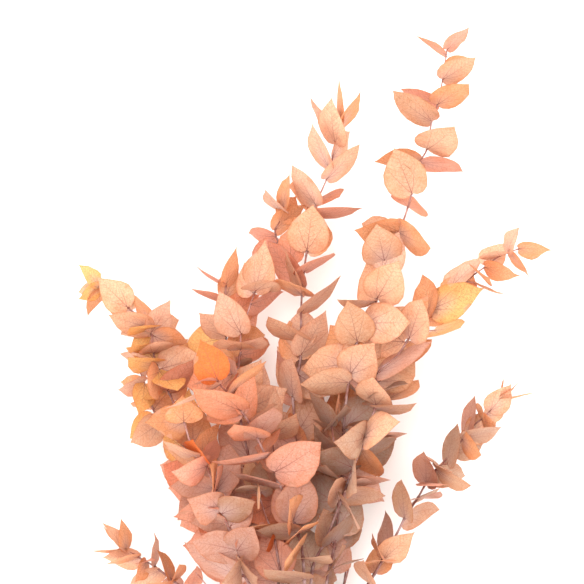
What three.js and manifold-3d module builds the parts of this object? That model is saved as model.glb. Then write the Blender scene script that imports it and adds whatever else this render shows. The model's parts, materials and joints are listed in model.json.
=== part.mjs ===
// A cut bunch of dried, dyed eucalyptus, lying on a surface and seen from above.
// X runs to the right, Y from the cut ends to the tips, Z up from the surface. Millimetres.
import * as THREE from 'three';
import Module from 'manifold-3d';
import { mergeVertices } from 'three/addons/utils/BufferGeometryUtils.js';

const wasm = await Module();
wasm.setup();

// Driving dimensions
const GRID = 0.9;                 // one step of the layout grid that all [u, v] places below use
const MIDDLE = 292;               // grid place of X = 0 and Y = 0, with v counted downwards
const LEAF_THICKNESS = 1.0;       // at the midrib
const LEAF_ASPECT = 0.88;         // width of a full leaf over its length
const LEAF_CLEARANCE = 0.45;      // kept round a leaf, on each side
const NODE_SPACING = 21;          // between two pairs of leaves on a short shoot
const HIDDEN_SPACING = 40;        // between two pairs behind the leaves that show
const SNAP = 3.8;                 // a leaf base this near its twig sits on it, others get a side twig
const SIDE_TWIG_RADIUS = 0.6;
const LAST_SEAT = 1.8;            // from the end of a twig to its last leaf
const STALK = 2.4;                // from the middle of a twig to the foot of a leaf's blade
const SWELLING = 1.4;             // radius of a swelling at a leaf's foot
const MEETING = 0.002;            // least shared volume of a foot and its twig, in cubic millimetres
const JOINT_GAP = 0.3;            // between a shoot and the stem it grows from
const FILL_RADIUS = [0.7, 1.1];   // of a short shoot's twig, at its tip and its foot
const FINEST_EDGE = 0.02;         // shorter edges are left out
const STEM_STEP = 32;             // length of one straight piece of a woody stem
const TWIG_STEP = 16;             // length of one straight piece of a twig
const STEM_RADIUS = 2.1;          // a woody stem at its cut end
const STEM_TOP_RADIUS = 1.8;
const TIE_U = 300;                // grid place of the tie
const TIE_V = 700;
const TIE_Z = 34;
const TIE_PITCH = 5.0;            // between stems inside the tie
const TIE_INNER = 11.2;
const TIE_OUTER = 12.9;
const TIE_WIDTH = 11;
const CUT_V = 782;                // grid place of the cut ends
const CUT_Z = 9.6;
const CUT_SPREAD = 1.45;          // how far the cut ends spread again past the tie
const SHOWN_TO_V = 590;           // grid place below which the crown is not held to a picture
const LOW_PAIRS_V = 600;          // below it, pairs on short shoots grow to all sides
const LEVEL = 0.15;               // steepest rise of a leaf behind the others, as a part of its length
const FULL_GROWN = 90;            // leaves this far from the tip of a shoot have their full size
const BUNDLE_SLOPE = (TIE_Z - CUT_Z) / ((CUT_V - TIE_V) * GRID);

// Woody stems: name, place inside the tie as [across, up], then [u, v, z] from the tie to the last fork
const STEMS = [
  ['stem_left_low', [-1.5, -0.5], [[284, 677, 36], [264, 655, 39], [240, 633, 42], [214, 613, 44]]],
  ['stem_left_back', [-0.5, -1.5], [[282, 655, 40], [258, 605, 53]]],
  ['stem_left_front', [-1.5, 0.5], [[281, 655, 52], [262, 615, 67]]],
  ['stem_front_low', [-0.5, 1.5], [[287, 660, 57], [270, 622, 80]]],
  ['stem_centre_left', [-0.5, -0.5], [[292, 655, 44], [284, 605, 56]]],
  ['stem_front_centre', [-0.5, 0.5], [[294, 655, 54], [288, 610, 78]]],
  ['stem_centre', [0.5, -1.5], [[302, 655, 39], [304, 600, 52]]],
  ['stem_front', [0.5, 1.5], [[303, 655, 62], [305, 606, 89]]],
  ['stem_front_right', [0.5, 0.5], [[305, 655, 54], [310, 606, 76]]],
  ['stem_right', [1.5, 0.5], [[313, 655, 52], [322, 606, 76]]],
  ['stem_right_back', [0.5, -0.5], [[309, 655, 46], [328, 600, 60]]],
  ['stem_right_low', [1.5, -0.5], [[313, 676, 36], [328, 650, 41], [345, 625, 46]]],
];

// Leafy shoots. stem: the woody stem each grows from. path: [u, v, z] from tip to foot.
// radius: at tip and foot. size: leaf length at the tip and lower down.
// leaves: [base u, base v, tip u, tip v, width seen from above, side], sizes on the grid;
// side 1 lifts the tip, -1 lowers it, and 0 keeps the leaf level.
const SHOOTS = [
  {
    name: 'shoot_front', stem: 'stem_front', radius: [0.8, 1.6], size: [36, 45],
    path: [[217, 377, 150], [222, 385, 148], [232, 395, 145], [240, 408, 142], [250, 422, 139],
      [263, 448, 134], [275, 470, 128], [286, 500, 119], [293, 518, 114], [298, 533, 110],
      [302, 548, 106], [304, 575, 98], [305, 606, 89]],
    leaves: [
      [217, 378, 201, 338, 38, 1], [220, 384, 163, 408, 6, 0], [238, 411, 191, 381, 34, 1],
      [241, 410, 236, 388, 13, -1], [231, 394, 268, 361, 12, -1], [226, 390, 237, 382, 12, -1],
      [244, 414, 255, 375, 26, -1], [250, 420, 276, 402, 9, -1], [258, 436, 235, 422, 26, 1],
      [258, 436, 274, 405, 28, 1], [268, 455, 211, 461, 11, 1], [276, 470, 321, 440, 44, 1],
      [280, 484, 230, 470, 8, 1], [295, 519, 305, 471, 42, 1], [295, 518, 289, 497, 22, 1],
      [297, 532, 255, 527, 9, 1], [297, 533, 304, 525, 14, 1], [299, 546, 283, 558, 20, 1],
      [304, 557, 330, 553, 13, 1], [306, 578, 261, 561, 20, 1],
    ],
  },
  {
    name: 'shoot_centre_grey', stem: 'stem_right', radius: [0.8, 1.5], size: [36, 42],
    path: [[331, 423, 108], [333, 436, 107], [335, 452, 105], [338, 472, 102], [338.5, 500, 98],
      [336, 535, 92], [330, 567, 86], [322, 606, 76]],
    leaves: [
      [331, 424, 309, 390, 18, 1], [333, 425, 346, 403, 12, 1], [334, 418, 341, 388, 5, -1],
      [335, 452, 313, 422, 14, 1], [341, 478, 324, 465, 12, 1], [342, 500, 326, 471, 28, 1],
      [326, 539, 318, 505, 17, 1], [330, 541, 349, 512, 20, 1], [330, 568, 343, 541, 22, 1],
      [340, 565, 357, 558, 12, 1], [326, 570, 336, 586, 20, 1],
    ],
  },
  {
    name: 'shoot_right', stem: 'stem_front_right', radius: [0.6, 1.5], size: [27, 42],
    path: [[521, 248, 80], [510, 252, 81], [498, 257, 82], [485, 267, 84], [475, 274, 85],
      [462, 285, 88], [451, 298, 90], [440, 304, 92], [431, 310, 94], [420, 325, 97],
      [409, 338, 100], [395, 358, 104], [378, 372, 108], [376, 403, 112], [364, 436, 114],
      [352, 470, 114], [341, 500, 111], [326, 539, 101], [313, 566, 92], [310, 606, 76]],
    leaves: [
      [521, 248, 552, 250, 18, 1], [508, 253, 520, 227, 15, 1], [509, 252, 532, 279, 7, 1],
      [499, 255, 481, 252, 14, 1], [485, 267, 520, 276, 18, 1], [477, 272, 488, 279, 8, 1],
      [452, 284, 482, 257, 26, -1], [476, 283, 505, 294, 3, 0], [432, 309, 483, 288, 40, 1],
      [436, 330, 461, 327, 15, -1], [424, 318, 425, 275, 26, -1], [409, 338, 423, 298, 34, 1],
      [379, 373, 431, 340, 18, 1], [400, 362, 432, 338, 24, -1], [376, 404, 372, 376, 34, 1],
      [372, 395, 408, 383, 12, 1], [377, 404, 397, 394, 10, -1], [388, 398, 419, 381, 20, -1],
      [378, 408, 416, 403, 12, 1], [365, 437, 400, 421, 30, 1], [364, 436, 334, 441, 37, 1],
      [366, 440, 407, 432, 12, -1], [367, 446, 396, 442, 18, -1], [363, 448, 380, 476, 24, -1],
      [353, 472, 356, 490, 27, 1], [347, 494, 386, 497, 22, -1], [352, 480, 391, 479, 12, -1],
      [343, 500, 358, 530, 18, 1],
    ],
  },
  {
    name: 'shoot_top_right', stem: 'stem_right_back', radius: [0.6, 1.6], size: [30, 44],
    path: [[448, 47, 70], [446, 57, 70], [443, 79, 72], [438, 104, 74], [432, 121, 76],
      [427, 149, 79], [421, 161, 80], [412, 193, 84], [408, 207, 85], [403, 222, 87],
      [400, 230, 88], [392, 250, 91], [384, 262, 93], [377, 298, 99], [368, 320, 103],
      [357, 341, 106], [350, 374, 107], [346, 400, 104], [343, 440, 95], [342, 480, 85],
      [339, 520, 77], [334, 560, 69], [328, 600, 60]],
    leaves: [
      [448, 47, 471, 26, 16, 1], [446, 54, 417, 34, 6, -1], [443, 79, 476, 56, 26, 1],
      [438, 104, 469, 84, 26, 1], [438, 103, 401, 87, 16, -1], [432, 121, 393, 90, 26, 1],
      [427, 149, 454, 127, 37, 1], [421, 161, 374, 161, 24, -1], [411, 193, 394, 148, 42, 1],
      [420, 162, 464, 171, 16, -1], [408, 207, 415, 195, 46, -1], [400, 232, 354, 231, 30, 1],
      [398, 232, 431, 248, 26, 1], [384, 261, 376, 225, 46, 1], [377, 298, 399, 260, 50, 1],
      [376, 300, 366, 262, 36, -1], [376, 300, 336, 298, 11, 1], [370, 325, 411, 322, 46, 1],
      [357, 341, 347, 299, 52, 1], [350, 374, 374, 342, 46, 1], [351, 369, 378, 326, 33, -1],
      [349, 382, 300, 385, 28, 1], [344, 438, 323, 418, 22, -1], [344, 432, 310, 401, 18, -1],
    ],
  },
  {
    name: 'shoot_top_middle', stem: 'stem_centre', radius: [0.6, 1.6], size: [33, 44],
    path: [[340, 125, 70], [335, 145, 71], [332, 160, 72], [329, 168, 72], [327, 178, 73],
      [322, 190, 74], [316, 203, 75], [311, 225, 77], [307, 250, 79], [303, 280, 81],
      [301, 313, 82], [301, 354, 82], [296, 380, 80], [293, 397, 78], [294, 412, 76],
      [297, 450, 72], [300, 500, 67], [303, 550, 60], [304, 600, 52]],
    leaves: [
      [340, 125, 339, 77, 8, 0], [340, 124, 362, 91, 12, 1], [335, 140, 310, 96, 12, -1],
      [335, 143, 331, 98, 27, 1], [329, 167, 313, 122, 18, 1], [334, 158, 350, 130, 18, -1],
      [328, 179, 359, 143, 20, 1], [314, 204, 292, 164, 22, 1], [313, 204, 290, 186, 18, -1],
      [320, 200, 340, 196, 16, -1], [316, 214, 364, 206, 12, 1], [307, 250, 313, 204, 43, 1],
      [306, 272, 334, 253, 12, 1], [301, 293, 284, 247, 26, 1], [303, 288, 270, 240, 14, -1],
      [301, 295, 279, 277, 18, 1], [301, 312, 340, 274, 14, 1], [301, 355, 326, 310, 34, 1],
      [301, 340, 268, 317, 18, 1], [301, 356, 321, 345, 24, -1], [292, 396, 291, 357, 24, 1],
      [293, 393, 277, 350, 14, -1], [301, 352, 328, 335, 12, -1], [296, 440, 297, 415, 22, 1],
    ],
  },
  {
    name: 'shoot_top_middle_side', stem: 'shoot_top_middle', radius: [0.6, 0.9], size: [33, 38],
    path: [[284, 206, 62], [279, 222, 62], [275, 232, 63], [283, 252, 66], [295, 270, 72],
      [303, 284, 81]],
    leaves: [
      [279, 209, 265, 189, 12, 1], [284, 206, 291, 173, 15, 1], [275, 230, 306, 204, 22, -1],
      [276, 236, 248, 232, 18, -1],
    ],
  },
  {
    name: 'shoot_front_left', stem: 'stem_left_front', radius: [0.8, 1.5], size: [38, 44],
    path: [[184, 419, 118], [188, 432, 119], [191, 441, 119], [203, 458, 117], [207, 465, 116],
      [214, 484, 111], [222, 505, 101], [232, 540, 89], [245, 575, 79], [262, 615, 67]],
    leaves: [
      [184, 420, 145, 422, 34, -1], [184, 419, 183, 394, 44, 1], [203, 458, 162, 440, 12, 1],
      [204, 457, 193, 438, 16, 1], [207, 463, 221, 421, 24, -1], [195, 462, 163, 446, 16, -1],
      [207, 465, 172, 470, 30, 1], [214, 484, 211, 463, 9, 1], [216, 489, 215, 460, 20, 1],
      [214, 490, 157, 465, 18, -1], [220, 500, 173, 517, 26, -1],
    ],
  },
  {
    name: 'shoot_lower_left', stem: 'stem_front_low', radius: [0.8, 1.5], size: [38, 42],
    path: [[218, 506, 116], [224, 515, 115], [232, 535, 111], [237, 550, 107], [242, 568, 102],
      [248, 582, 97], [258, 602, 89], [270, 622, 80]],
    leaves: [
      [218, 506, 188, 497, 40, 1], [223, 512, 256, 500, 32, 1], [226, 522, 190, 523, 26, -1],
      [236, 549, 192, 540, 36, 1], [237, 550, 254, 525, 42, 1], [241, 567, 220, 584, 26, 1],
      [242, 568, 258, 575, 24, 1], [240, 575, 183, 543, 24, -1],
    ],
  },
  {
    name: 'shoot_front_low', stem: 'stem_front_centre', radius: [0.8, 1.4], size: [34, 40],
    path: [[256, 489, 112], [261, 500, 110], [266, 515, 107], [270, 525, 105], [275, 540, 101],
      [277, 552, 97], [282, 580, 89], [288, 610, 78]],
    leaves: [
      [257, 489, 239, 484, 16, 1], [259, 489, 270, 504, 17, 1], [262, 490, 260, 461, 22, -1],
      [256, 489, 248, 455, 14, -1], [270, 527, 253, 523, 12, 1], [275, 538, 264, 553, 14, 1],
      [286, 595, 258, 582, 24, 1],
    ],
  },
  {
    name: 'shoot_inner_pale', stem: 'stem_front_centre', radius: [0.7, 1.2], size: [38, 40],
    path: [[272, 425, 94], [273, 445, 92], [277, 480, 87], [282, 520, 80], [287, 560, 73],
      [289, 590, 70], [291, 632, 65]],
    leaves: [
      [272, 428, 274, 386, 18, 1], [272, 436, 297, 413, 18, 1],
    ],
  },
  {
    name: 'shoot_left_middle', stem: 'stem_centre_left', radius: [0.7, 1.5], size: [40, 44],
    path: [[256, 289, 84], [248, 312, 86], [241, 332, 88], [241, 350, 88], [239, 362, 88],
      [238, 400, 84], [245, 440, 78], [254, 480, 72], [266, 530, 65], [277, 575, 59],
      [284, 605, 56]],
    leaves: [
      [255, 289, 266, 239, 38, 1], [256, 290, 275, 279, 14, 1], [242, 333, 220, 290, 34, 1],
      [252, 305, 284, 292, 18, -1], [241, 349, 222, 336, 22, 1], [242, 349, 263, 337, 18, 1],
      [240, 355, 270, 345, 24, -1], [240, 362, 256, 358, 14, -1], [239, 380, 236, 360, 20, 1],
    ],
  },
  {
    name: 'shoot_left_middle_side', stem: 'shoot_left_middle', radius: [0.6, 1.0], size: [32, 38],
    path: [[226, 283, 66], [225, 300, 68], [226, 318, 70], [226, 340, 73], [231, 362, 78],
      [238, 392, 84]],
    leaves: [
      [224, 337, 199, 312, 28, 1], [226, 283, 194, 263, 4, 0], [224, 302, 190, 288, 8, 1],
      [228, 282, 236, 246, 16, 1], [228, 298, 239, 264, 24, -1], [224, 318, 221, 286, 14, -1],
    ],
  },
  {
    name: 'shoot_upper_left', stem: 'stem_left_back', radius: [0.6, 1.5], size: [24, 38],
    path: [[96, 284, 66], [103, 290, 67], [115, 298, 68], [127, 307, 69], [139, 318, 70],
      [150, 328, 72], [153, 352, 74], [158, 369, 76], [170, 395, 79], [190, 440, 80],
      [208, 480, 76], [224, 520, 69], [240, 560, 61], [258, 605, 53]],
    leaves: [
      [96, 284, 78, 264, 16, 1], [98, 287, 77, 300, 16, 1], [101, 289, 85, 316, 14, -1],
      [127, 307, 97, 277, 32, 1], [148, 326, 135, 294, 14, -1], [150, 328, 108, 316, 26, 1],
      [151, 328, 130, 327, 12, 1], [152, 334, 120, 333, 12, -1], [152, 332, 169, 299, 26, 1],
      [152, 346, 126, 348, 9, 1], [152, 353, 165, 338, 24, 1], [154, 353, 188, 338, 12, 1],
      [157, 366, 119, 353, 14, -1], [157, 363, 128, 357, 20, 1], [161, 372, 148, 395, 24, 1],
      [160, 370, 178, 392, 26, 1], [170, 395, 182, 355, 30, -1], [168, 390, 194, 360, 26, 1],
    ],
  },
  {
    name: 'shoot_upper_left_side', stem: 'shoot_upper_left', radius: [0.6, 1.0], size: [28, 40],
    path: [[138, 370, 56], [144, 384, 58], [152, 408, 62], [160, 426, 66], [176, 440, 72],
      [198, 458, 78]],
    leaves: [
      [138, 371, 138, 350, 14, -1], [140, 384, 117, 391, 15, 1], [145, 384, 138, 416, 26, 1],
      [158, 425, 130, 443, 32, 1], [150, 402, 131, 408, 14, -1], [154, 410, 176, 386, 30, -1],
    ],
  },
  {
    name: 'shoot_right_low', stem: 'stem_right_low', radius: [0.6, 1.5], size: [24, 38],
    path: [[500, 398, 60], [491, 411, 60], [482, 420, 60], [472, 428, 60], [465, 438, 60],
      [455, 450, 60], [445, 462, 59], [437, 470, 58], [428, 482, 57], [419, 498, 56],
      [406, 518, 55], [399, 532, 54], [384, 560, 52], [370, 584, 50], [345, 625, 46]],
    leaves: [
      [491, 411, 512, 384, 26, 1], [500, 398, 522, 380, 4, 0], [498, 400, 536, 393, 3, 0],
      [500, 396, 504, 376, 2, 0], [483, 419, 483, 406, 9, 1], [482, 420, 497, 425, 14, 1],
      [465, 438, 502, 426, 17, 1], [465, 434, 477, 395, 13, -1], [463, 440, 482, 455, 20, 1],
      [450, 465, 460, 424, 17, 1], [441, 467, 437, 463, 8, 1], [437, 470, 472, 485, 17, 1],
      [428, 485, 428, 447, 18, 1], [429, 484, 441, 481, 9, 1], [428, 486, 454, 484, 4, 0],
      [420, 500, 440, 489, 10, 1], [420, 500, 436, 494, 10, -1], [404, 518, 403, 479, 28, 1],
      [408, 521, 440, 510, 22, -1], [384, 560, 415, 532, 28, 1], [390, 548, 387, 512, 17, -1],
      [384, 558, 373, 533, 4, 0], [382, 561, 371, 560, 9, 1], [371, 586, 364, 560, 20, 1],
    ],
  },
  {
    name: 'shoot_left_low', stem: 'stem_left_low', radius: [0.6, 1.4], size: [24, 34],
    path: [[123, 550, 38], [134, 557, 38], [143, 563, 39], [153, 568, 40], [170, 581, 42],
      [185, 592, 43], [214, 613, 44]],
    leaves: [
      [122, 550, 119, 520, 14, 1], [123, 552, 101, 524, 12, 1], [124, 551, 86, 553, 4, 0],
      [126, 552, 96, 530, 3, 0], [143, 563, 151, 559, 7, 1], [153, 569, 154, 533, 7, 0],
      [170, 580, 157, 551, 10, 1], [173, 584, 179, 565, 12, 1], [138, 561, 100, 560, 26, -1],
      [136, 560, 97, 568, 6, 0], [144, 566, 134, 584, 14, 1], [190, 594, 196, 566, 18, 1],
      [172, 583, 145, 583, 8, 1], [158, 574, 128, 588, 20, -1],
    ],
  },
];

// Short shoots below the crown's widest part and behind it: name, woody stem, path, leaf length,
// turn of the first pair of leaves about the twig in degrees
const FILL_SHOOTS = [
  ['low_shoot_left_front', 'stem_left_front', [[196, 572, 98], [222, 600, 84], [256, 634, 62]], 36, 20],
  ['low_shoot_left', 'stem_left_low', [[176, 612, 62], [204, 622, 52], [240, 640, 41]], 33, 55],
  ['low_shoot_left_back', 'stem_left_back', [[214, 560, 26], [238, 598, 32], [266, 632, 45]], 36, 10],
  ['low_shoot_front', 'stem_front_low', [[262, 592, 122], [270, 614, 104], [281, 645, 67]], 36, 75],
  ['low_shoot_middle', 'stem_front', [[300, 590, 126], [302, 612, 106], [303, 646, 66]], 36, 35],
  ['low_shoot_back', 'stem_centre', [[290, 560, 22], [296, 600, 30], [302, 645, 41]], 36, 0],
  ['low_shoot_right_front', 'stem_right', [[346, 590, 104], [336, 612, 92], [317, 640, 60]], 36, 60],
  ['low_shoot_right', 'stem_right_low', [[392, 612, 66], [366, 628, 54], [335, 642, 43]], 33, 15],
  ['low_shoot_right_back', 'stem_right_back', [[352, 560, 30], [340, 600, 36], [318, 630, 51]], 36, 40],
  ['back_shoot_left', 'stem_left_back',
    [[176, 430, 36], [206, 490, 36], [236, 560, 40], [266, 620, 49]], 42, 30],
  ['back_shoot_centre_left', 'stem_centre_left',
    [[232, 430, 34], [250, 490, 34], [270, 560, 38], [288, 625, 51]], 42, 80],
  ['back_shoot_centre', 'stem_centre',
    [[300, 380, 34], [304, 450, 34], [306, 540, 36], [303, 625, 46]], 42, 10],
  ['back_shoot_right', 'stem_right_back',
    [[356, 400, 40], [350, 470, 38], [342, 540, 40], [324, 610, 57]], 42, 50],
  ['back_shoot_far_right', 'stem_right_low',
    [[370, 424, 28], [364, 480, 26], [350, 550, 30], [338, 636, 44]], 40, 70],
];

// More leaves behind those above, for each shoot: distance of the foot from the tip of the twig, bearing,
// rise, turn about the midrib, and length, in millimetres and degrees
const BEHIND = {
  shoot_top_middle: [
    [122, 58, -30, -24, 37], [206, 88, -18, -24, 37], [218, 105, -18, 0, 37], [230, -31, 24, 0, 37],
    [286, 59, 12, -24, 46], [298, 178, 36, 0, 46], [322, 141, -30, -24, 46], [410, 31, 12, 0, 46],
  ],
  shoot_left_middle: [
    [6, 107, -30, -24, 34], [78, 195, 2, 0, 46], [98, 56, 12, 24, 37], [110, 61, -18, 0, 46],
    [114, 27, 2, 24, 46], [158, 115, -18, 0, 46], [174, 223, 36, 0, 37], [262, 104, -8, 24, 46],
    [274, 151, -8, -24, 46], [282, 7, 2, 24, 46],
  ],
  back_shoot_right: [
    [6, 73, 12, 0, 44], [22, 109, 24, -24, 44], [38, 169, 2, 24, 44], [54, 25, 12, 24, 44],
  ],
  shoot_front_low: [
    [86, 113, 2, 0, 42],
  ],
  shoot_top_right: [
    [22, 22, -18, 24, 28], [182, 153, -30, -24, 37], [214, 67, 2, 0, 37], [302, 188, -18, 0, 46],
    [306, 116, -30, -24, 46], [362, 38, -30, 24, 46], [406, -32, -18, -24, 46], [430, 122, -30, 24, 46],
    [474, 70, -18, -24, 46], [498, 81, 12, 0, 37],
  ],
  shoot_right: [
    [38, 48, -18, -24, 28], [82, 45, -30, -24, 35], [114, 43, -18, -24, 36], [126, 145, -8, 0, 36],
    [138, 176, -30, 0, 44], [186, 30, -30, -24, 44], [266, 154, 24, -24, 36], [370, 105, 2, 0, 44],
  ],
  shoot_inner_pale: [
    [70, 205, 36, 0, 42],
  ],
  back_shoot_left: [
    [10, 81, 2, -24, 44], [26, 141, -30, 0, 36], [50, 164, -30, 24, 44], [62, 150, 2, 0, 44],
    [122, 174, 2, -24, 44], [138, 163, 2, 0, 44],
  ],
  shoot_upper_left: [
    [6, 189, -18, -24, 21], [42, 149, -8, 24, 32], [66, 21, -30, 24, 29], [70, -22, -18, 24, 37],
    [94, 131, -30, 24, 32], [102, 16, 2, 0, 40], [178, 90, 12, 0, 40], [222, 220, 12, 0, 40],
    [226, 172, 2, 0, 40], [238, 207, -18, 0, 40], [266, 196, -8, -24, 40],
  ],
  shoot_left_middle_side: [
    [30, 32, -18, 24, 36], [46, 31, -30, 0, 37], [50, 191, -18, 0, 37], [58, 18, -30, 24, 38],
    [82, 139, -18, -24, 32],
  ],
  shoot_top_middle_side: [
    [14, 57, -30, 24, 29], [34, 232, -30, -24, 37], [58, 89, 2, -24, 31],
  ],
  shoot_right_low: [
    [22, 31, -18, 24, 23], [46, 31, -18, 24, 33], [66, 15, -18, -24, 29], [90, -9, -30, 24, 32],
    [198, 71, -30, -24, 32],
  ],
  shoot_upper_left_side: [
    [18, 168, -30, -24, 26], [46, 220, 12, -24, 29],
  ],
  back_shoot_centre: [
    [10, 118, 12, 24, 44],
  ],
  shoot_front_left: [
    [74, 76, -18, -24, 45],
  ],
  shoot_centre_grey: [
    [74, 148, -8, 24, 43], [98, 60, -30, 24, 44],
  ],
  shoot_left_low: [
    [66, 192, -30, 24, 33],
  ],
  shoot_lower_left: [
    [22, 51, -8, -24, 33],
  ],
  shoot_front: [
    [154, 109, -8, 0, 38],
  ],
};

// The part of the crown that has no gaps to see through, as [u, v]
const THICKET = [
  [196, 584], [190, 545], [184, 512], [172, 485], [158, 446], [140, 424], [150, 400], [176, 372],
  [205, 352], [236, 368], [262, 402], [291, 404], [302, 366], [332, 322], [362, 306], [386, 306],
  [402, 330], [414, 350], [404, 398], [392, 428], [380, 470], [368, 505], [352, 545], [346, 584],
];

// Changes tried in turn until a leaf clears what is already there:
// rise of the tip, turn about the midrib in degrees, swing sideways in degrees, scale
const CHANGES = [
  [0, 0, 0, 1], [5, 0, 0, 1], [-5, 0, 0, 1], [0, 12, 0, 1], [0, -12, 0, 1], [10, 0, 0, 1],
  [-10, 0, 0, 1], [7, 14, 0, 1], [-7, -14, 0, 1], [7, -14, 0, 1], [-7, 14, 0, 1], [16, 0, 0, 1],
  [-16, 0, 0, 1], [0, 26, 0, 0.95], [0, -26, 0, 0.95], [14, 20, 6, 0.92], [-14, -20, -6, 0.92],
  [22, 0, 5, 0.92], [-22, 0, -5, 0.92], [0, 0, 9, 0.86], [0, 0, -9, 0.86], [12, -18, 10, 0.82],
  [-12, 18, -10, 0.82], [28, 8, 0, 0.82], [-28, -8, 0, 0.82], [12, 30, 16, 0.72], [-12, -30, -16, 0.72],
  [36, 0, -16, 0.72], [-36, 0, 16, 0.72],
];

// Leaf outline on the left of the midrib: [along the leaf, across it], as parts of length and width
const OUTLINE = [[0.07, 0.05], [0.2, 0.46], [0.62, 0.4]];
const MIDRIB = [0.2, 0.6];

// A place on the layout grid
function at(u, v, z) {
  return new THREE.Vector3((u - MIDDLE) * GRID, (MIDDLE - v) * GRID, z);
}

// The same value from 0 to 1 each time for a whole number
function chance(number) {
  let h = Math.imul(number ^ 61, 0x9e3779b1);
  h ^= h >>> 15;
  h = Math.imul(h, 0x85ebca6b);
  h ^= h >>> 13;
  return (h >>> 0) / 4294967296;
}

// A finer line of points through the given ones
function smoothLine(points) {
  const fine = [];
  for (let i = 0; i < points.length - 1; i += 1) {
    const a = points[Math.max(i - 1, 0)];
    const b = points[i];
    const c = points[i + 1];
    const d = points[Math.min(i + 2, points.length - 1)];
    for (let k = 0; k < 4; k += 1) {
      const t = k / 4;
      const p = new THREE.Vector3();
      p.addScaledVector(a, -0.5 * t + t * t - 0.5 * t ** 3);
      p.addScaledVector(b, 1 - 2.5 * t * t + 1.5 * t ** 3);
      p.addScaledVector(c, 0.5 * t + 2 * t * t - 1.5 * t ** 3);
      p.addScaledVector(d, -0.5 * t * t + 0.5 * t ** 3);
      fine.push(p);
    }
  }
  fine.push(points.at(-1).clone());
  return fine;
}

// Distance along a line of points at each of them
function lengthsAlong(line) {
  const lengths = [0];
  for (let i = 1; i < line.length; i += 1) lengths.push(lengths[i - 1] + line[i].distanceTo(line[i - 1]));
  return lengths;
}

// The point at a distance along a line
function pointAlong(line, lengths, distance) {
  const s = Math.min(Math.max(distance, 0), lengths.at(-1));
  let i = 1;
  while (i < line.length - 1 && lengths[i] < s) i += 1;
  const part = (s - lengths[i - 1]) / (lengths[i] - lengths[i - 1]);
  return line[i - 1].clone().lerp(line[i], part);
}

// The place on a line nearest a point, in plan (flat) or in space
function nearestOn(line, lengths, point, flat) {
  let best = { gap: Infinity };
  for (let i = 1; i < line.length; i += 1) {
    const a = line[i - 1];
    const along = line[i].clone().sub(a);
    const reach = point.clone().sub(a);
    if (flat) reach.z = 0;
    const run = flat ? along.clone().setZ(0) : along;
    const t = Math.min(Math.max(reach.dot(run) / run.lengthSq(), 0), 1);
    const place = a.clone().addScaledVector(along, t);
    const gap = flat ? Math.hypot(place.x - point.x, place.y - point.y) : place.distanceTo(point);
    if (gap < best.gap) best = { gap, place, distance: lengths[i - 1] + t * (lengths[i] - lengths[i - 1]) };
  }
  return best;
}

// A closed solid from a geometry whose faces share their vertices
function solidOf(geometry) {
  geometry.deleteAttribute('normal');
  geometry.deleteAttribute('uv');
  const merged = mergeVertices(geometry, 1e-4);
  return new wasm.Manifold(new wasm.Mesh({
    numProp: 3,
    vertProperties: new Float32Array(merged.attributes.position.array),
    triVerts: new Uint32Array(merged.index.array),
  }));
}

// A round twig along a line, with its radius growing evenly from its first end to its last
function taperedTwig(line, firstRadius, lastRadius, sides, step) {
  const path = new THREE.CatmullRomCurve3(line, false, 'centripetal');
  const steps = Math.max(1, Math.round(path.getLength() / step));
  const ring = [];
  for (let k = 0; k < sides; k += 1) {
    const angle = (2 * Math.PI * k) / sides;
    ring.push(new THREE.Vector2(Math.cos(angle), Math.sin(angle)));
  }
  const tube = new THREE.ExtrudeGeometry(new THREE.Shape(ring), { steps, extrudePath: path });
  const centres = path.getSpacedPoints(steps);
  const spot = new THREE.Vector3();
  const places = tube.attributes.position;
  for (let i = 0; i < places.count; i += 1) {
    spot.fromBufferAttribute(places, i);
    const gaps = centres.map((centre) => centre.distanceTo(spot));
    const nearest = gaps.indexOf(Math.min(...gaps));
    const radius = firstRadius + (lastRadius - firstRadius) * (nearest / steps);
    spot.sub(centres[nearest]).multiplyScalar(radius).add(centres[nearest]);
    places.setXYZ(i, spot.x, spot.y, spot.z);
  }
  return solidOf(tube);
}

// A leaf's place: foot on the twig, base and tip of the blade, turn about the midrib, width, fold, bow
function poseOf(foot, base, tip, turn, width, fold, bow) {
  const along = tip.clone().sub(base);
  const length = along.length();
  along.normalize();
  const level = new THREE.Vector3(-along.y, along.x, 0);
  if (level.lengthSq() < 1e-6) level.set(0, 1, 0);
  level.normalize();
  const up = along.clone().cross(level);
  const side = level.clone().multiplyScalar(Math.cos(turn)).addScaledVector(up, Math.sin(turn));
  const face = along.clone().cross(side);
  return { foot, base, tip, along, side, face, length, width, fold, bow };
}

// A point of the leaf's middle surface: a along its length, b across its width
function leafPoint(pose, a, b, lift = 0) {
  const bend = pose.bow * pose.length * 4 * a * (1 - a) + pose.fold * pose.width * 2 * Math.abs(b);
  return pose.base.clone()
    .addScaledVector(pose.along, a * pose.length)
    .addScaledVector(pose.side, b * pose.width)
    .addScaledVector(pose.face, bend + lift);
}

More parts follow.
